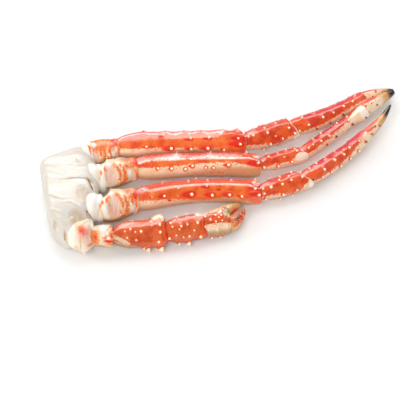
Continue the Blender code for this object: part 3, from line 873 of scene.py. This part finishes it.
def propodus(leg, seed):
    """The tube, flat above, with a red start that leans back under the carpus. The second one
    flares into a cream end."""
    skin = Skin(limbs[leg]["propodus"], PROPODUS_GIRTH[leg], PROPODUS, 150, 100)
    keel = skin.keel
    skin.waves(seed, 0.4)
    skin.cream_belly(PROPODUS_BORDER[leg])
    skin.slide -= SLANT[leg] * keel(8, 52) * (1 - rise(skin.t, 0.0, 0.3))
    skin.add_mark("red", 1.6 * skin.span(-0.05, 0.16, 0.08) * keel(40, 55) - 1)
    skin.shade(0.75 * keel(0, 50) * (1 - rise(skin.t, 0.75, 1.0)))
    skin.facet(12, 38, 0.7)
    end = rise(skin.t, 0.90, 0.985)
    skin.lift += end * (1.4 * keel(10, 40) + 1.6 * keel(110, 36))
    skin.slide += end * (2.0 * keel(10, 40) + 2.4 * keel(110, 36))
    if leg == "leg_2":
        skin.add_mark("pale", 0.9 * keel(78, 30) * skin.span(0.4, 0.85, 0.2) - 0.98)
        flare = rise(skin.t, 0.80, 0.97)
        skin.lift += flare * (2.0 + 2.4 * keel(150, 44))
        skin.slide += flare * (1.5 * keel(150, 40) - 2.5)
        skin.domes("pale 1.6 .95 84 11 9 .9")
    thorns = [*PROPODUS_THORNS[leg], *unseen_thorns(seed + 20, 9, 2.4)]
    return grow(leg + "_propodus_shell", skin, thorns, "thorny_shell", dark=PROPODUS_DARK[leg])


for order, leg in enumerate(LEGS):
    propodus(leg, order)

# %% [markdown]
# ## Dactyli
# The dactylus is the foot: one curved horn, cream with a crimson streak on top, turning gold and
# then black towards its hard point. A horn could be a curve with a taper object. The same skin as
# above does it, with a profile that runs down almost to nothing.

# %% Dactyli of the three legs
DACTYLUS = table("0 .74 .66, .08 1 .84, .3 .88 .74, .56 .66 .58, .8 .42 .38, .95 .24 .22, 1 .14 .14")
BLUNT_DACTYLUS = table("""
0 .8 .72, .1 1 .84, .35 .92 .78, .6 .76 .68, .84 .56 .52, .96 .44 .42, 1 .36 .34""")
HORN_END = ((0.4, 0.75), (0.7, 0.35))
DACTYLUS_GIRTH = by_leg(8.6, 10.6, 8.6)
BLACK_FROM = by_leg(0.88, 0.86, 0.72)
GOLD_LENGTH = by_leg(16.0, 19.0, 27.0)
RED_FLECK = by_leg(0.7, 0.7, 1.8)  # strength of the red beside the streak
DACTYLUS_DARK = table("""
.05 78 1.8 0, .27 110 1.8 0, .4 61 1.8 0;
.04 50 1.8 0, .06 114 1.8 0, .35 94 1.8 0, .22 60 1.2 0;
.02 94 2 0, .09 94 1.8 0, .25 60 2 0, .36 88 1.8 0""")


def dactylus(leg, seed):
    """A horn. Its black end starts at one share of its length, with gold before it."""
    segment = limbs[leg]["dactylus"]
    profile = BLUNT_DACTYLUS if leg == "leg_2" else DACTYLUS
    skin = Skin(segment, DACTYLUS_GIRTH[leg], profile, 90, 72, HORN_END)
    skin.waves(seed, 0.25)
    skin.add_mark("red", 2.2 * skin.keel(14, 26) * skin.span(-0.1, 0.5, 0.25) - 1)
    skin.add_mark("red", RED_FLECK[leg] * skin.dome(0.16, 44, 11, 4) - 1)
    skin.marks["black"] = (skin.t - BLACK_FROM[leg]) * segment.length / GOLD_LENGTH[leg]
    # Low values of the back mark give the darker under colour, painted shade; the second dactylus gets
    # less of it.
    skin.marks["back"] = np.maximum(np.cos(skin.angle) - 0.2, -0.9 + 0.5 * (leg == "leg_2"))
    skin.cream_belly(((0, 50), (1, 50)), 320)
    thorns = unseen_thorns(seed + 30, 3, 1.6)
    return grow(leg + "_dactylus_shell", skin, thorns, "tip", dark=DACTYLUS_DARK[leg])


for order, leg in enumerate(LEGS):
    dactylus(leg, order)

# %% [markdown]
# ## Coxae and ischia
# Two short joints come before each merus. The coxa sits in the shoulder, lobed and white like it.
# The ischium is a bell: its wide white rim leans back over the coxa and rises to a peak on top,
# and behind the rim the shell is so thin that the meat shows through as a pinkish oval. Orange
# streaks run round the bell behind that oval, and a cream lobe and a red band come just before
# the merus. The bell is the same skin as before; its rim is drawn back or forwards by a slide
# that swings round the tube, and its zones are domes at a few places.

# %% Ischia of the three legs
ISCHIUM = table("0 .86 .8, .1 1 .94, .38 1 .92, .62 .9 .82, .8 .8 .74, .92 .84 .76, 1 .74 .68")
ISCHIUM_GIRTH = by_leg(16.5, 19.5, 21.5)
# Degrees round the tube, then the mm that the rim reaches forwards there.
RIM_SLIDE = table("""
0 -5, 30 -9, 60 -10, 95 -10.5, 140 -8, 180 -2, 260 2, 320 0;
0 8, 20 4, 38 0, 60 -4, 90 -6, 128 -4.5, 168 .5, 230 4, 320 8;
0 13, 20 9, 36 4, 52 0, 76 -3.5, 103 -2.5, 132 1, 200 4, 320 11""")
RIM_DEPTH = 20.0  # mm over which that slide dies out
PEAK = by_leg(8, -4, -2)  # angle of the rim's highest point
# From here on each row is a place, an angle, and a size along and round.
WINDOW = by_leg((-0.08, 94, 5, 13), (0.11, 92, 8, 14), (0.19, 82, 9, 15))
STREAKS = table("""
.06 60 3.4 4, .16 76 2.6 4, .14 92 2.2 5, .3 84 2.4 5, .3 102 2.4 5, .28 120 2.6 6, .38 138 4 5,
.52 156 4 5, .42 66 6 4, .6 48 8 8, .55 74 3 5, .3 44 5 4, .94 88 2 8, .92 116 2.6 6, .8 58 5 7,
.5 96 2 6, .56 124 3 5;
.3 54 3 4.5, .36 70 2.6 5, .4 86 2 5, .41 97 1.8 4, .36 117 2.6 3, .53 76 2.8 4, .55 91 2.8 4,
.52 106 2.6 5, .54 121 4.2 6, .46 141 5 6, .78 36 9 8, .64 62 3 4, .9 100 2 4, .93 122 3 5,
.46 58 2 3, .84 62 5 5;
.37 46 2.8 4, .41 57 2.6 5, .44 72 2.3 6, .45 88 2.1 5, .36 111 1.9 2, .58 60 2.4 4, .57 74 1.8 4,
.61 88 2.6 4, .57 102 2.4 5, .56 116 3.8 5, .46 136 5 4, .78 76 3 7, .8 52 5 6, .88 98 2.2 6,
.7 44 4 4""")
RIM_STREAKS = table("""
-.25 50 1.7 4, -.28 66 1.7 5, -.29 82 1.5 4;
.09 43 2 4, 0 59 2 5, -.1 76 1.7 4;
.13 46 2.2 4, .05 58 2.2 4, -.05 66 2.2 4, -.14 73 1.7 3""")
LOBES = table("""
.66 116 3.2 5, .8 90 1.8 5, .46 112 1.6 3;
.7 100 3.2 6, .47 74 1.2 2;
.75 114 3 5, .7 92 1.6 3, .5 98 1.4 3""")
RED_PATCH = by_leg((0.80, 42, 4.5, 9), (0.97, 45, 5, 9), (0.90, 60, 4.5, 8))
WASH = by_leg((0.12, 2.6), (0.55, 1.8), (0.6, 1.5))  # from where, how strong
# The underside is painted dark tan round this angle: painted shade.
UNDERSIDE = by_leg(178, 178, 168)  # angle where the shell turns brown
ISCHIUM_SPOTS = table(".47 74 1.5 0, .34 119 1.6 0, .66 58 1.4 0, .84 44 1.4 0")


def swing(angle, rows):
    """A value that swings round the tube: straight between the (degrees, value) rows of the
    table, which close on themselves, then averaged over a window."""
    window = range(-12, 13, 3)
    turns = (np.interp(np.degrees(angle) + step, *np.transpose(rows), period=360) for step in window)
    return sum(turns) / len(window)


def ischium(leg, seed):
    """The bell. Rim, window, lobe and neck are lifts; streaks, wash and red band are marks."""
    skin = Skin(limbs[leg]["ischium"], ISCHIUM_GIRTH[leg], ISCHIUM, 110, 144)
    keel, dome, span = skin.keel, skin.dome, skin.span
    skin.waves(seed, 0.4)
    start = skin.t * skin.segment.length
    skin.slide += swing(skin.angle, RIM_SLIDE[leg]) * (1 - rise(start, 0.0, RIM_DEPTH))
    rim = np.exp(-(((start - 1.0) / 2.1) ** 2))
    place, degrees, along, around = WINDOW[leg]
    window = dome(place, degrees, 1.2 * along, 1.15 * around)
    window_edge = rise(0.5 - np.abs(window - 0.3), 0.3, 0.5) * (start > 2)
    skin.lift += rim * (0.3 + 1.1 * keel(80, 70) + 3.0 * keel(PEAK[leg], 22))
    skin.lift += 0.8 * window_edge - 1.4 * rise(window, 0.35, 0.9)
    skin.domes("lift .7 .55 120 5 6, lift .6 .52 78 3 7, lift -.9 .87 95 2.4 22")
    skin.add_mark("pale", 2.3 * rim * (0.35 + keel(90, 85)) - 1.1)
    skin.add_mark("window", 2.6 * window - 1.1)
    for streak in RIM_STREAKS[leg]:
        skin.add_mark("orange", 2.6 * dome(*streak) - 1)
        skin.marks["pale"] -= 2.2 * dome(*streak)
    for streak in STREAKS[leg]:
        skin.add_mark("orange", 2.7 * dome(*streak) - 1)
    for lobe in LOBES[leg]:
        skin.lift += 0.3 * lobe[2] * dome(*lobe)
        skin.add_mark("pale", 1.9 * dome(*lobe) - 1)
    skin.add_mark("pale", 1.7 * dome(place + 0.02, degrees - 48, 5, 5) - 1)
    # A dark tan band just before the window: painted shade in the dip there.
    skin.add_mark("brown", 0.7 * dome(place - 0.1, degrees, 2.6, 9) - 1 + 0.3 * (leg == "leg_3"))
    first, amount = WASH[leg]
    skin.add_mark("orange", amount * span(first, 1.2, 0.3) * keel(38, 48) - 0.9)
    skin.add_mark("red", 2.1 * dome(*RED_PATCH[leg]) - 1)
    skin.add_mark("red", 1.3 * keel(150, 36) * span(0.88, 1.2, 0.06) - 1)
    skin.add_mark("brown", 2.2 * keel(UNDERSIDE[leg], 36) * span(-0.2, 0.8, 0.2) - 1)
    thorns = [*ISCHIUM_SPOTS, *unseen_thorns(seed + 40, 4, 2.0)]
    return grow(leg + "_ischium_shell", skin, thorns, "joint")


for order, leg in enumerate(LEGS):
    ischium(leg, order)

# %% Coxae of the three legs
COXA = table("-.18 .45 .45, 0 .8 .76, .2 1 .95, .45 1.04 .98, .66 .94 .88, .85 .96 .9, 1 .84 .78")
COXA_GIRTH = by_leg(13.5, 17.0, 18.5)
COXA_FOOT = by_leg(1.5, 8.0, 2.0)  # how far the lower lobe stands off
# The crease is cut in and painted dark tan: painted shade.
CREASE = by_leg(  # place, angle, slope round the tube, reach and strength of the brown crease
    (0.15, 104, 1.5, 6, 0.6), (0.20, 147, 2.5, 10, 1.9), (0.24, 121, 1.4, 8, 1.9)
)
COXA_GROOVE = by_leg(0.45, 0.64, 0.76)


def coxa(leg, seed):
    """A white lobe in front and a groove after it. The groove, the crease below and the underside
    are painted dark tan, as painted shade.
    """
    skin = Skin(limbs[leg]["coxa"], COXA_GIRTH[leg], COXA, 80, 128)
    skin.waves(seed, 0.9)
    length = skin.segment.length
    skin.lift += 1.2 * skin.dome(0.32, 84, 0.24 * length, 12)
    skin.lift += COXA_FOOT[leg] * skin.dome(0.85, 165, 9, 12)
    off = (skin.t - COXA_GROOVE[leg]) * length - 1.2 * np.cos(skin.angle - 0.4)
    groove = np.exp(-(off**2)) * skin.keel(88, 60)
    skin.lift -= 0.8 * groove
    skin.add_mark("pale", 1.9 * skin.keel(60, 110) - 0.7 - 1.2 * groove)
    skin.add_mark("brown", 0.7 * groove - 0.85)
    skin.add_mark("brown", 1.5 * skin.keel(176, 22) * (1 - rise(skin.t, 0.7, 1.0)) - 1)
    skin.domes("lift 1.2 .2 30 6 8, orange .85 .15 74 3 3 .7")
    place, degrees, slope, reach, strength = CREASE[leg]
    x, y = skin.away(place, degrees)
    across = (y - slope * x) ** 2 / (1 + slope**2)
    crease = np.exp(-across / 1.2 - (x * x + y * y) / reach**2)
    skin.lift -= 0.8 * strength * crease
    skin.add_mark("brown", strength * crease - 0.9)
    if leg == "leg_1":
        skin.domes("orange 2 .16 66 2.2 5, red .9 .3 60 5 8 1.1")
    return grow(leg + "_coxa_shell", skin, (), "joint")


for order, leg in enumerate(LEGS):
    coxa(leg, order)

# %% [markdown]
# ## The claw arm
# The fourth limb is shorter and curls under the third leg. Its segments follow the same plan, but
# stouter and redder, with a few large spikes below, and it ends in a claw: a palm that runs out
# into a fixed finger, and a finger that bites against it. The two stand a little open. Its paint
# is darker than the legs', partly as painted shade for the shade that it lies in.

# %% Coxa and ischium of the claw arm
CLAW_COXA = table("-.13 .3 .3, 0 .54 .54, .18 .77 .77, .42 .96 .94, .65 .98 .95, .85 .86 .8, 1 .66 .6")
CLAW_ISCHIUM = table("0 .84 .82, .12 .88 .86, .4 .95 .92, .7 .98 .95, .9 1 .96, 1 .97 .93")


def claw_coxa():
    """A white lobe with a ridge along its top, and a pink and orange patch where it is thin."""
    skin = Skin(limbs["claw"]["coxa"], 21.0, CLAW_COXA, 110, 180)
    skin.waves(50, 1.0)
    x, y = skin.away(0.78, 19)
    crest = np.exp(-((x / 8.5) ** 2) - (((y + 0.8 * x) / 1.5) ** 2))
    skin.lift += 3.6 * skin.keel(4, 38) * rise(skin.t, 0.45, 1.0) + 3.0 * crest
    skin.domes(
        "lift -1.4 .72 46 8 6, lift 1.2 .5 140 7 8, lift 1 .3 100 5 6, lift -1.2 .45 112 3 12,"
        "lift -1 .9 100 5 10, window 2.6 .7 78 11 13 .9, orange 3 .54 54 5 4.5 1.1,"
        "orange 2.3 .99 92 3.5 10, orange 2.1 .9 128 5 4, pale 1.8 .62 152 9 9, pale 1.8 1 34 3 5,"
        "brown .8 .45 118 1.4 12 .9"
    )
    skin.add_mark("red", 1.35 * skin.dome(0.60, 68, 9.0, 10.0) ** 0.7 - 1.12)
    skin.add_mark("pale", 2.6 * crest - 0.9)
    skin.add_mark("pale", 1.2 * (1 - rise(skin.t, 0.15, 0.5)) - 1)
    # The seam where the lobe starts, the thin line low on its front in the table above and a spot
    # below are painted dark tan: painted shade in the crevices.
    seam = np.exp(-(((skin.t + 0.10) * skin.segment.length / 1.4) ** 2))
    skin.add_mark("brown", 1.0 * seam - 0.9)
    skin.add_mark("brown", 0.8 * skin.dome(0.25, 134, 4, 6) - 1 + 0.2 * skin.dome(0.9, 36, 5, 5))
    return grow("claw_coxa_shell", skin, table(".57 168 3.6 0"), "joint")


def claw_ischium():
    """Short and stepped: a cream block on top, orange at the sides, one red stripe."""
    skin = Skin(limbs["claw"]["ischium"], 14.5, CLAW_ISCHIUM, 110, 144)
    skin.waves(51, 0.6)
    skin.domes(
        "lift 1.5 .52 40 5.5 8, lift -.8 .16 74 2.2 14, lift 1.5 .8 140 7 5, lift -1.2 .72 112 9 2,"
        "lift .9 .5 84 2.2 2.4, lift .9 .76 98 2.2 2.4, lift .9 .68 74 2.2 2.4,"
        "pale 2.2 .5 84 2.4 2.4, pale 2.2 .76 98 2.4 2.4, pale 2.2 .68 74 2.4 2.4,"
        "pale 2.2 .5 42 5.5 8, orange 2.5 .06 84 4.5 8, orange 2.2 .14 122 4.5 7,"
        "orange 2.2 .62 96 5 3, orange 3 1.04 42 4.2 9, orange 2.8 1.06 84 7 7,"
        "orange 1.4 .9 128 9 4 .9, red 1.3 .1 96 2.5 4, red 2.2 .8 116 8 1.8, brown 1.5 .5 168 14 6"
    )
    # The groove at the border is cut in and painted dark tan, as is the underside in the table above:
    # painted shade.
    x, y = skin.away(0.88, 28)
    border = np.exp(-((x / 6) ** 2) - (((y + 1.67 * x) / 2.2) ** 2))
    skin.lift -= 0.7 * border
    skin.add_mark("brown", 1.5 * border - 1)
    return grow("claw_ischium_shell", skin, unseen_thorns(52, 3, 2.0), "joint")


claw_coxa()
claw_ischium()

# %% Merus and carpus of the claw arm
CLAW_MERUS = table("""
0 .5 .46, .06 .62 .56, .16 .82 .72, .32 .97 .84, .55 .95 .84, .82 .98 .86, .94 1.02 .9, 1 .82 .74""")
CLAW_MERUS_BORDER = table("0 122, .2 134, .45 144, .62 176, 1 200")
CLAW_MERUS_THORNS = table("""
.24 70 2.2 .7, .28 98 2.4 .5, .35 66 2.6 .9, .44 77 2 .5, .45 112 2.2 .6, .55 75 3.2 .5,
.58 158 3 .5, .75 57 2 .5, .87 123 3.2 .5, .9 56 3.2 .5, .9 84 3.2 .5, .66 168 6 .5, .9 164 6.6 .3,
.4 20 2 0""")
CLAW_CARPUS_THORNS = table("""
.07 126 3.2 .5, .15 46 2.8 .5, .18 66 2.4 .5, .25 112 2.2 .5, .31 166 3.6 .4, .35 84 1.8 .5,
.4 72 2.8 .5, .42 122 2.2 .5, .56 68 2.2 .5, .57 122 2.6 .5, .83 70 3.2 .6, .86 133 3.8 .6,
.55 166 5.4 .4, .35 15 2.6 .3, .62 10 2.4 .3, .72 98 2 .5""")


def claw_merus():
    """A short stout tube. Its top corner is a cream plate that stands up over the joint, and a
    tongue of shell reaches back over the joint before it."""
    skin = Skin(limbs["claw"]["merus"], 18.0, CLAW_MERUS, 120, 128)
    t, keel = skin.t, skin.keel
    skin.waves(53, 0.6)
    skin.cream_belly(CLAW_MERUS_BORDER)
    plate = keel(2, 27) * rise(t, 0.66, 0.92) * (1 - rise(t, 0.965, 1.03))
    tongue = keel(86, 27) * (1 - rise(t, 0.02, 0.22))
    skin.facet(95, 34, 0.5)
    skin.lift += 6.0 * plate + 6.4 * tongue + keel(56, 12) * skin.span(0.05, 1.2, 0.1)
    skin.slide += rise(t, 0.88, 0.985) * (2.6 * keel(0, 30) + 2.0 * keel(140, 40)) - 4.0 * tongue
    x, y = skin.away(0.18, 116)
    lens = np.exp(-((x / 10.5) ** 2) - (((y - 0.45 * x) / 3.3) ** 2))
    skin.lift -= 0.9 * lens
    skin.add_mark("belly", np.maximum(7 * lens - 2.6, 8 * plate - 2.2))
    skin.add_mark("red", np.minimum(1.5 * lens**0.4 - 1, 0.3) - 3 * lens)
    skin.shade(0.8 * lens)
    skin.add_mark("red", 26 * (t - 0.965) - 2 * keel(0, 40) + 0.3 * np.cos(7 * skin.angle))
    thorns = [*CLAW_MERUS_THORNS, *unseen_thorns(54, 6, 3.0)]
    return grow("claw_merus_shell", skin, thorns, "claw_shell")


def claw_carpus():
    """A stout elbow that widens towards the palm, with a red rim and a cream corner on top."""
    skin = Skin(limbs["claw"]["carpus"], 16.8, CARPUS, 100, 120)
    t, keel = skin.t, skin.keel
    skin.waves(55, 0.7)
    skin.cream_belly(((0, 176), (1, 188)), 250)
    skin.facet(100, 34, 0.5)
    skin.slide += rise(t, 0.86, 0.98) * (2.0 * keel(140, 40) - 1.5 * keel(95, 30))
    skin.domes("pale 1.9 .93 14 7 6")
    skin.add_mark("red", 24 * (t - 0.95) - 2 * keel(10, 40) + 0.3 * np.cos(7 * skin.angle))
    thorns = [*CLAW_CARPUS_THORNS, *unseen_thorns(56, 5, 3.0)]
    return grow("claw_carpus_shell", skin, thorns, "claw_shell")


claw_merus()
claw_carpus()

# %% Palm and fingers
PALM = table("0 .76 .7, .08 .9 .82, .25 .98 .88, .55 1.02 .9, .86 1.05 .9, 1 .98 .82")
PALM_END = ((1.4, 0.93), (2.6, 0.78), (3.2, 0.5))
FINGER = table("0 .8 .74, .1 .96 .88, .35 .9 .82, .62 .7 .66, .85 .42 .4, 1 .16 .16")
FIXED_FINGER = table("0 1.12 .98, .16 1.02 .92, .36 .86 .8, .6 .66 .6, .85 .42 .4, 1 .22 .22")
FINGER_GIRTH = 10.5
ALL_ROUND = ((0, -30), (1, -30)), 390  # a belly that goes all the way round
PALM_THORNS = table("""
.08 38 2.6 0, .02 92 2.4 0, .23 160 3 0, .24 62 2.6 0, .47 46 2.6 0, .58 58 2.2 0, .58 166 3.2 0,
.68 50 2.6 0, .44 76 2.2 0, .68 76 2 0, .3 20 2 0, .82 26 2 0""")
GRAINS = 44
DARK_GRAINS = 10  # the last of them, which have black tips


def palm():
    """The palm, orange above and cream in front, and the fixed finger that grows out of it."""
    skin = Skin(limbs["claw"]["palm"], 16.0, PALM, 100, 128, PALM_END)
    keel, span = skin.keel, skin.span
    skin.waves(57, 0.6)
    skin.cream_belly(table("0 80, .5 84, .85 88, 1 96"), 330)
    root = skin.dome(1.0, 12, 9, 11)
    skin.add_mark("belly", 9 * root - 2)
    skin.shade(-2.4 * root)
    skin.facet(112, 40, 0.7)
    skin.facet(64, 26, 0.8)
    skin.lift += 1.2 * keel(84, 9) * span(0.12, 0.92, 0.1) + 1.2 * keel(150, 12)
    skin.lift += 3.0 * keel(6, 30) * rise(skin.t, 0.45, 0.95)
    # Three raised folds run down the cream front; their tops are painted whiter, as painted
    # highlights.
    skin.domes(
        "lift 1.3 .14 116 2.2 6, lift 1.3 .46 118 2.2 6, lift 1.3 .86 106 2.2 6,"
        "pale 1.1 .14 116 2.6 6, pale 1.1 .46 118 2.6 6, pale 1.1 .86 106 2.6 6,"
        "lift -1 .64 114 2 8, pale 1.6 .02 20 6 8"
    )
    skin.add_mark("pale", 1.3 * keel(8, 16) * span(-0.1, 0.7, 0.2) - 0.9)
    skin.add_mark("red", 1.6 * keel(64, 10) * span(0.15, 0.80, 0.15) - 1)
    skin.add_mark("red", 1.8 * keel(158, 15) * span(0.12, 0.7, 0.1) - 1.3)
    finger = Skin(fingers["fixed"], FINGER_GIRTH, FIXED_FINGER, 60, 64, HORN_END)
    finger.waves(58, 0.3)
    finger.marks["back"] = -0.2 + 0.3 * np.cos(finger.angle)
    finger.cream_belly(*ALL_ROUND)
    finger.domes("red 2.2 .56 118 10 5")
    # The fixed finger turns gold and then dark tan, darkest on its lower side: partly its own colour,
    # partly painted shade.
    tip = 0.2 * rise(finger.t, 0.6, 1.0)
    finger.marks["black"] = -0.85 + 0.7 * finger.dome(0.58, 138, 16, 8) + tip
    thorns = [*PALM_THORNS, *unseen_thorns(59, 4, 2.6)]
    return grow("claw_palm_shell", skin, thorns, "claw_shell", more=[finger.layer()])


def finger():
    """The moving finger: a tan horn with a patch of red grains along its outer face, darkened on its
    upper face by painted shade.
    """
    skin = Skin(fingers["moving"], FINGER_GIRTH, FINGER, 90, 80, HORN_END)
    skin.waves(60, 0.3)
    draw = np.random.default_rng(61)
    places, degrees = draw.uniform(0.02, 0.85, GRAINS), draw.uniform(22, 104, GRAINS)
    grains = [(*where, 0.8, 1.0) for where in zip(places.tolist(), degrees.tolist())]
    skin.cream_belly(*ALL_ROUND)
    skin.marks["back"] = -0.2 + 0.3 * np.cos(skin.angle)
    # The finger is gold along its length, with a dark patch on its upper face: partly its own colour,
    # partly painted shade where it lies in the gap.
    tip = 0.2 * rise(skin.t, 0.5, 1.0)
    skin.marks["black"] = -0.75 + 0.7 * skin.dome(0.42, 46, 19, 8) + tip
    red, dark = grains[:-DARK_GRAINS], grains[-DARK_GRAINS:]
    return grow("claw_finger_shell", skin, red, "tip", dark=dark)


palm()
finger()

# %% [markdown]
# ## The shoulder
# The shoulder is a block of body shell, bleached white by the boiling and waxy, cut straight where
# the crab was halved. Low ridges run across it, and thin places show the meat as greyish ovals. The
# creases between the limbs and in front of the ridges are painted dark tan, as painted shade. It is
# a loft: seven sections, each a rounded box, stand in a row from the claw arm to the first leg, and
# the relief is added in millimetres over the table, because that is how it is seen.

# %% Loft the shoulder
# Rows: the cut edge's x and y, the leg side's x and y, the height.
SHOULDER_ROWS = table("""
-206 -151 -190 -148 33, -228 -129 -178 -117 46, -235 -97 -170 -87 52, -241 -61 -168 -57 54,
-247 -37 -170 -25 50, -251 -21 -180 5 50, -238 -9 -182 30 43""")
ROW_WINDOW = 0.16  # half the window over which the rows are averaged
CUT_ROUNDNESS = 6.0  # power of the sections: 2 is an ellipse, and more is boxier
LEG_ROUNDNESS = 2.1
END_ROUNDNESS = 4.0
# Rows: from x and y to x and y, height, half width, and how dark and deep the crease in front of it
# is; its dark is painted shade.
RIDGES = table("""
-206 -62 -178 -56 1.5 1.4 1.3, -240 -50 -206 -62 .8 3 .7, -232 -88 -181 -110 .7 1.6 1,
-243 -33 -226 -38 .8 1.4 .9, -236 -58 -214 -62 .5 3 0, -206 -141 -198 -124 1.8 2.4 1.3,
-222 -22 -196 -12 .5 3 .6, -196 -40 -176 -30 .7 3 .7, -212 -6 -192 8 .5 3 .5,
-181 -58 -175 -71 -2.6 1.5 2.3, -181 -107 -174 -116 -2.6 1.5 2.3, -228 -120 -214 -140 1 1.8 1.1,
-214 -124 -208 -136 1.2 1.8 .9, -232 -110 -216 -116 .7 1.6 .8""")
# Rows: x, y, depth, size along x and y, strength of the mark.
HOLLOWS = {
    "window": table("""
-186 -86 1.6 9 13 2.3, -193 -122 1.6 10 11 2.2, -220 -132 .8 4 5 1.5, -196 -26 .4 6 5 1.2,
-222 -74 1 12 9 .6, -206 -34 .3 5 3 1.2, -181 2 1.2 4 5 1.5"""),
    # Hollows painted dark tan: painted shade in the crevices, except the last row, a tan spot of the
    # shell's own.
    "brown": table("""
-176 -60 1.5 3 4 .9, -178 -14 1.2 4 4 1, -207 -146 1.8 2 9 1.3, -199 -22 .2 2.5 2.5 1,
-221 -97 .3 6 2.5 .7"""),
    "orange": table("-200 -5 .4 3 3 .7, -178 -58 .5 3 3 .7, -176 -118 .5 3 2 .6"),
}


def shoulder():
    """Rounded boxes in a row: across = |cos|^(2/n) and up = |sin|^(2/n), signed, n the roundness.
    The row's ends close the same way."""
    steps, sides = 220, 240
    s = np.sin(np.linspace(-math.pi / 2, math.pi / 2, steps))
    turn = np.linspace(0, 2 * math.pi, sides, endpoint=False)
    rows = np.array(SHOULDER_ROWS)
    stations = np.linspace(-1, 1, len(rows))
    window = np.linspace(-ROW_WINDOW, ROW_WINDOW, 9)
    columns = (sum(np.interp(s + step, stations, column) for step in window) for column in rows.T)
    cut_x, cut_y, leg_x, leg_y, height = (column[:, None] / len(window) for column in columns)
    full = (1 - np.abs(s[:, None]) ** END_ROUNDNESS) ** (1 / END_ROUNDNESS)
    power = 2 / np.where(np.cos(turn) > 0, LEG_ROUNDNESS, CUT_ROUNDNESS)
    across = np.sign(np.cos(turn)) * np.abs(np.cos(turn)) ** power * full**0.6
    up = np.sign(np.sin(turn)) * np.abs(np.sin(turn)) ** power * full
    x = (cut_x + leg_x) / 2 + across * (leg_x - cut_x) / 2
    y = (cut_y + leg_y) / 2 + across * (leg_y - cut_y) / 2
    z = height * (1 + up) / 2
    top = rise(up, -0.2, 0.6)
    relief = np.zeros_like(x)
    marks = {name: np.full_like(x, NOWHERE) for name in JOINT_MARKS}

    def mark_top(name, values):
        """Adds to a zone, on the upper side only."""
        marks[name] = np.maximum(marks[name], values - 3 * (1 - top))

    for x0, y0, x1, y1, tall, wide, dark in RIDGES:
        way = np.array((x1 - x0, y1 - y0))
        share = np.clip(((x - x0) * way[0] + (y - y0) * way[1]) / (way @ way), 0, 1)
        off_x, off_y = x - x0 - share * way[0], y - y0 - share * way[1]
        relief += tall * np.exp(-((off_x**2 + off_y**2) / wide**2))
        # The crease in front of each ridge is cut in and painted dark tan: painted shade.
        crease = np.exp(-((off_x**2 + (off_y + 1.3 * wide * (tall > 0)) ** 2) / 1.1**2))
        relief -= 0.5 * dark * crease
        mark_top("brown", dark * crease - 0.95)
    for name, hollows in HOLLOWS.items():
        for x0, y0, deep, along, over, strength in hollows:
            dome = np.exp(-((((x - x0) / along) ** 2 + ((y - y0) / over) ** 2) ** 1.4))
            relief -= deep * dome
            mark_top(name, strength * dome - 1)
            if strength > 2:  # a thin brown line round the plainest windows
                mark_top("brown", 0.6 * np.exp(-(((dome - 0.3) / 0.12) ** 2)) - 0.9)
    points = np.stack([x, y, z + relief * top], axis=-1)
    marks = {name: values[None] for name, values in marks.items()}
    return make_piece("shoulder_shell", [(points[None], marks)], "shoulder")


shoulder()
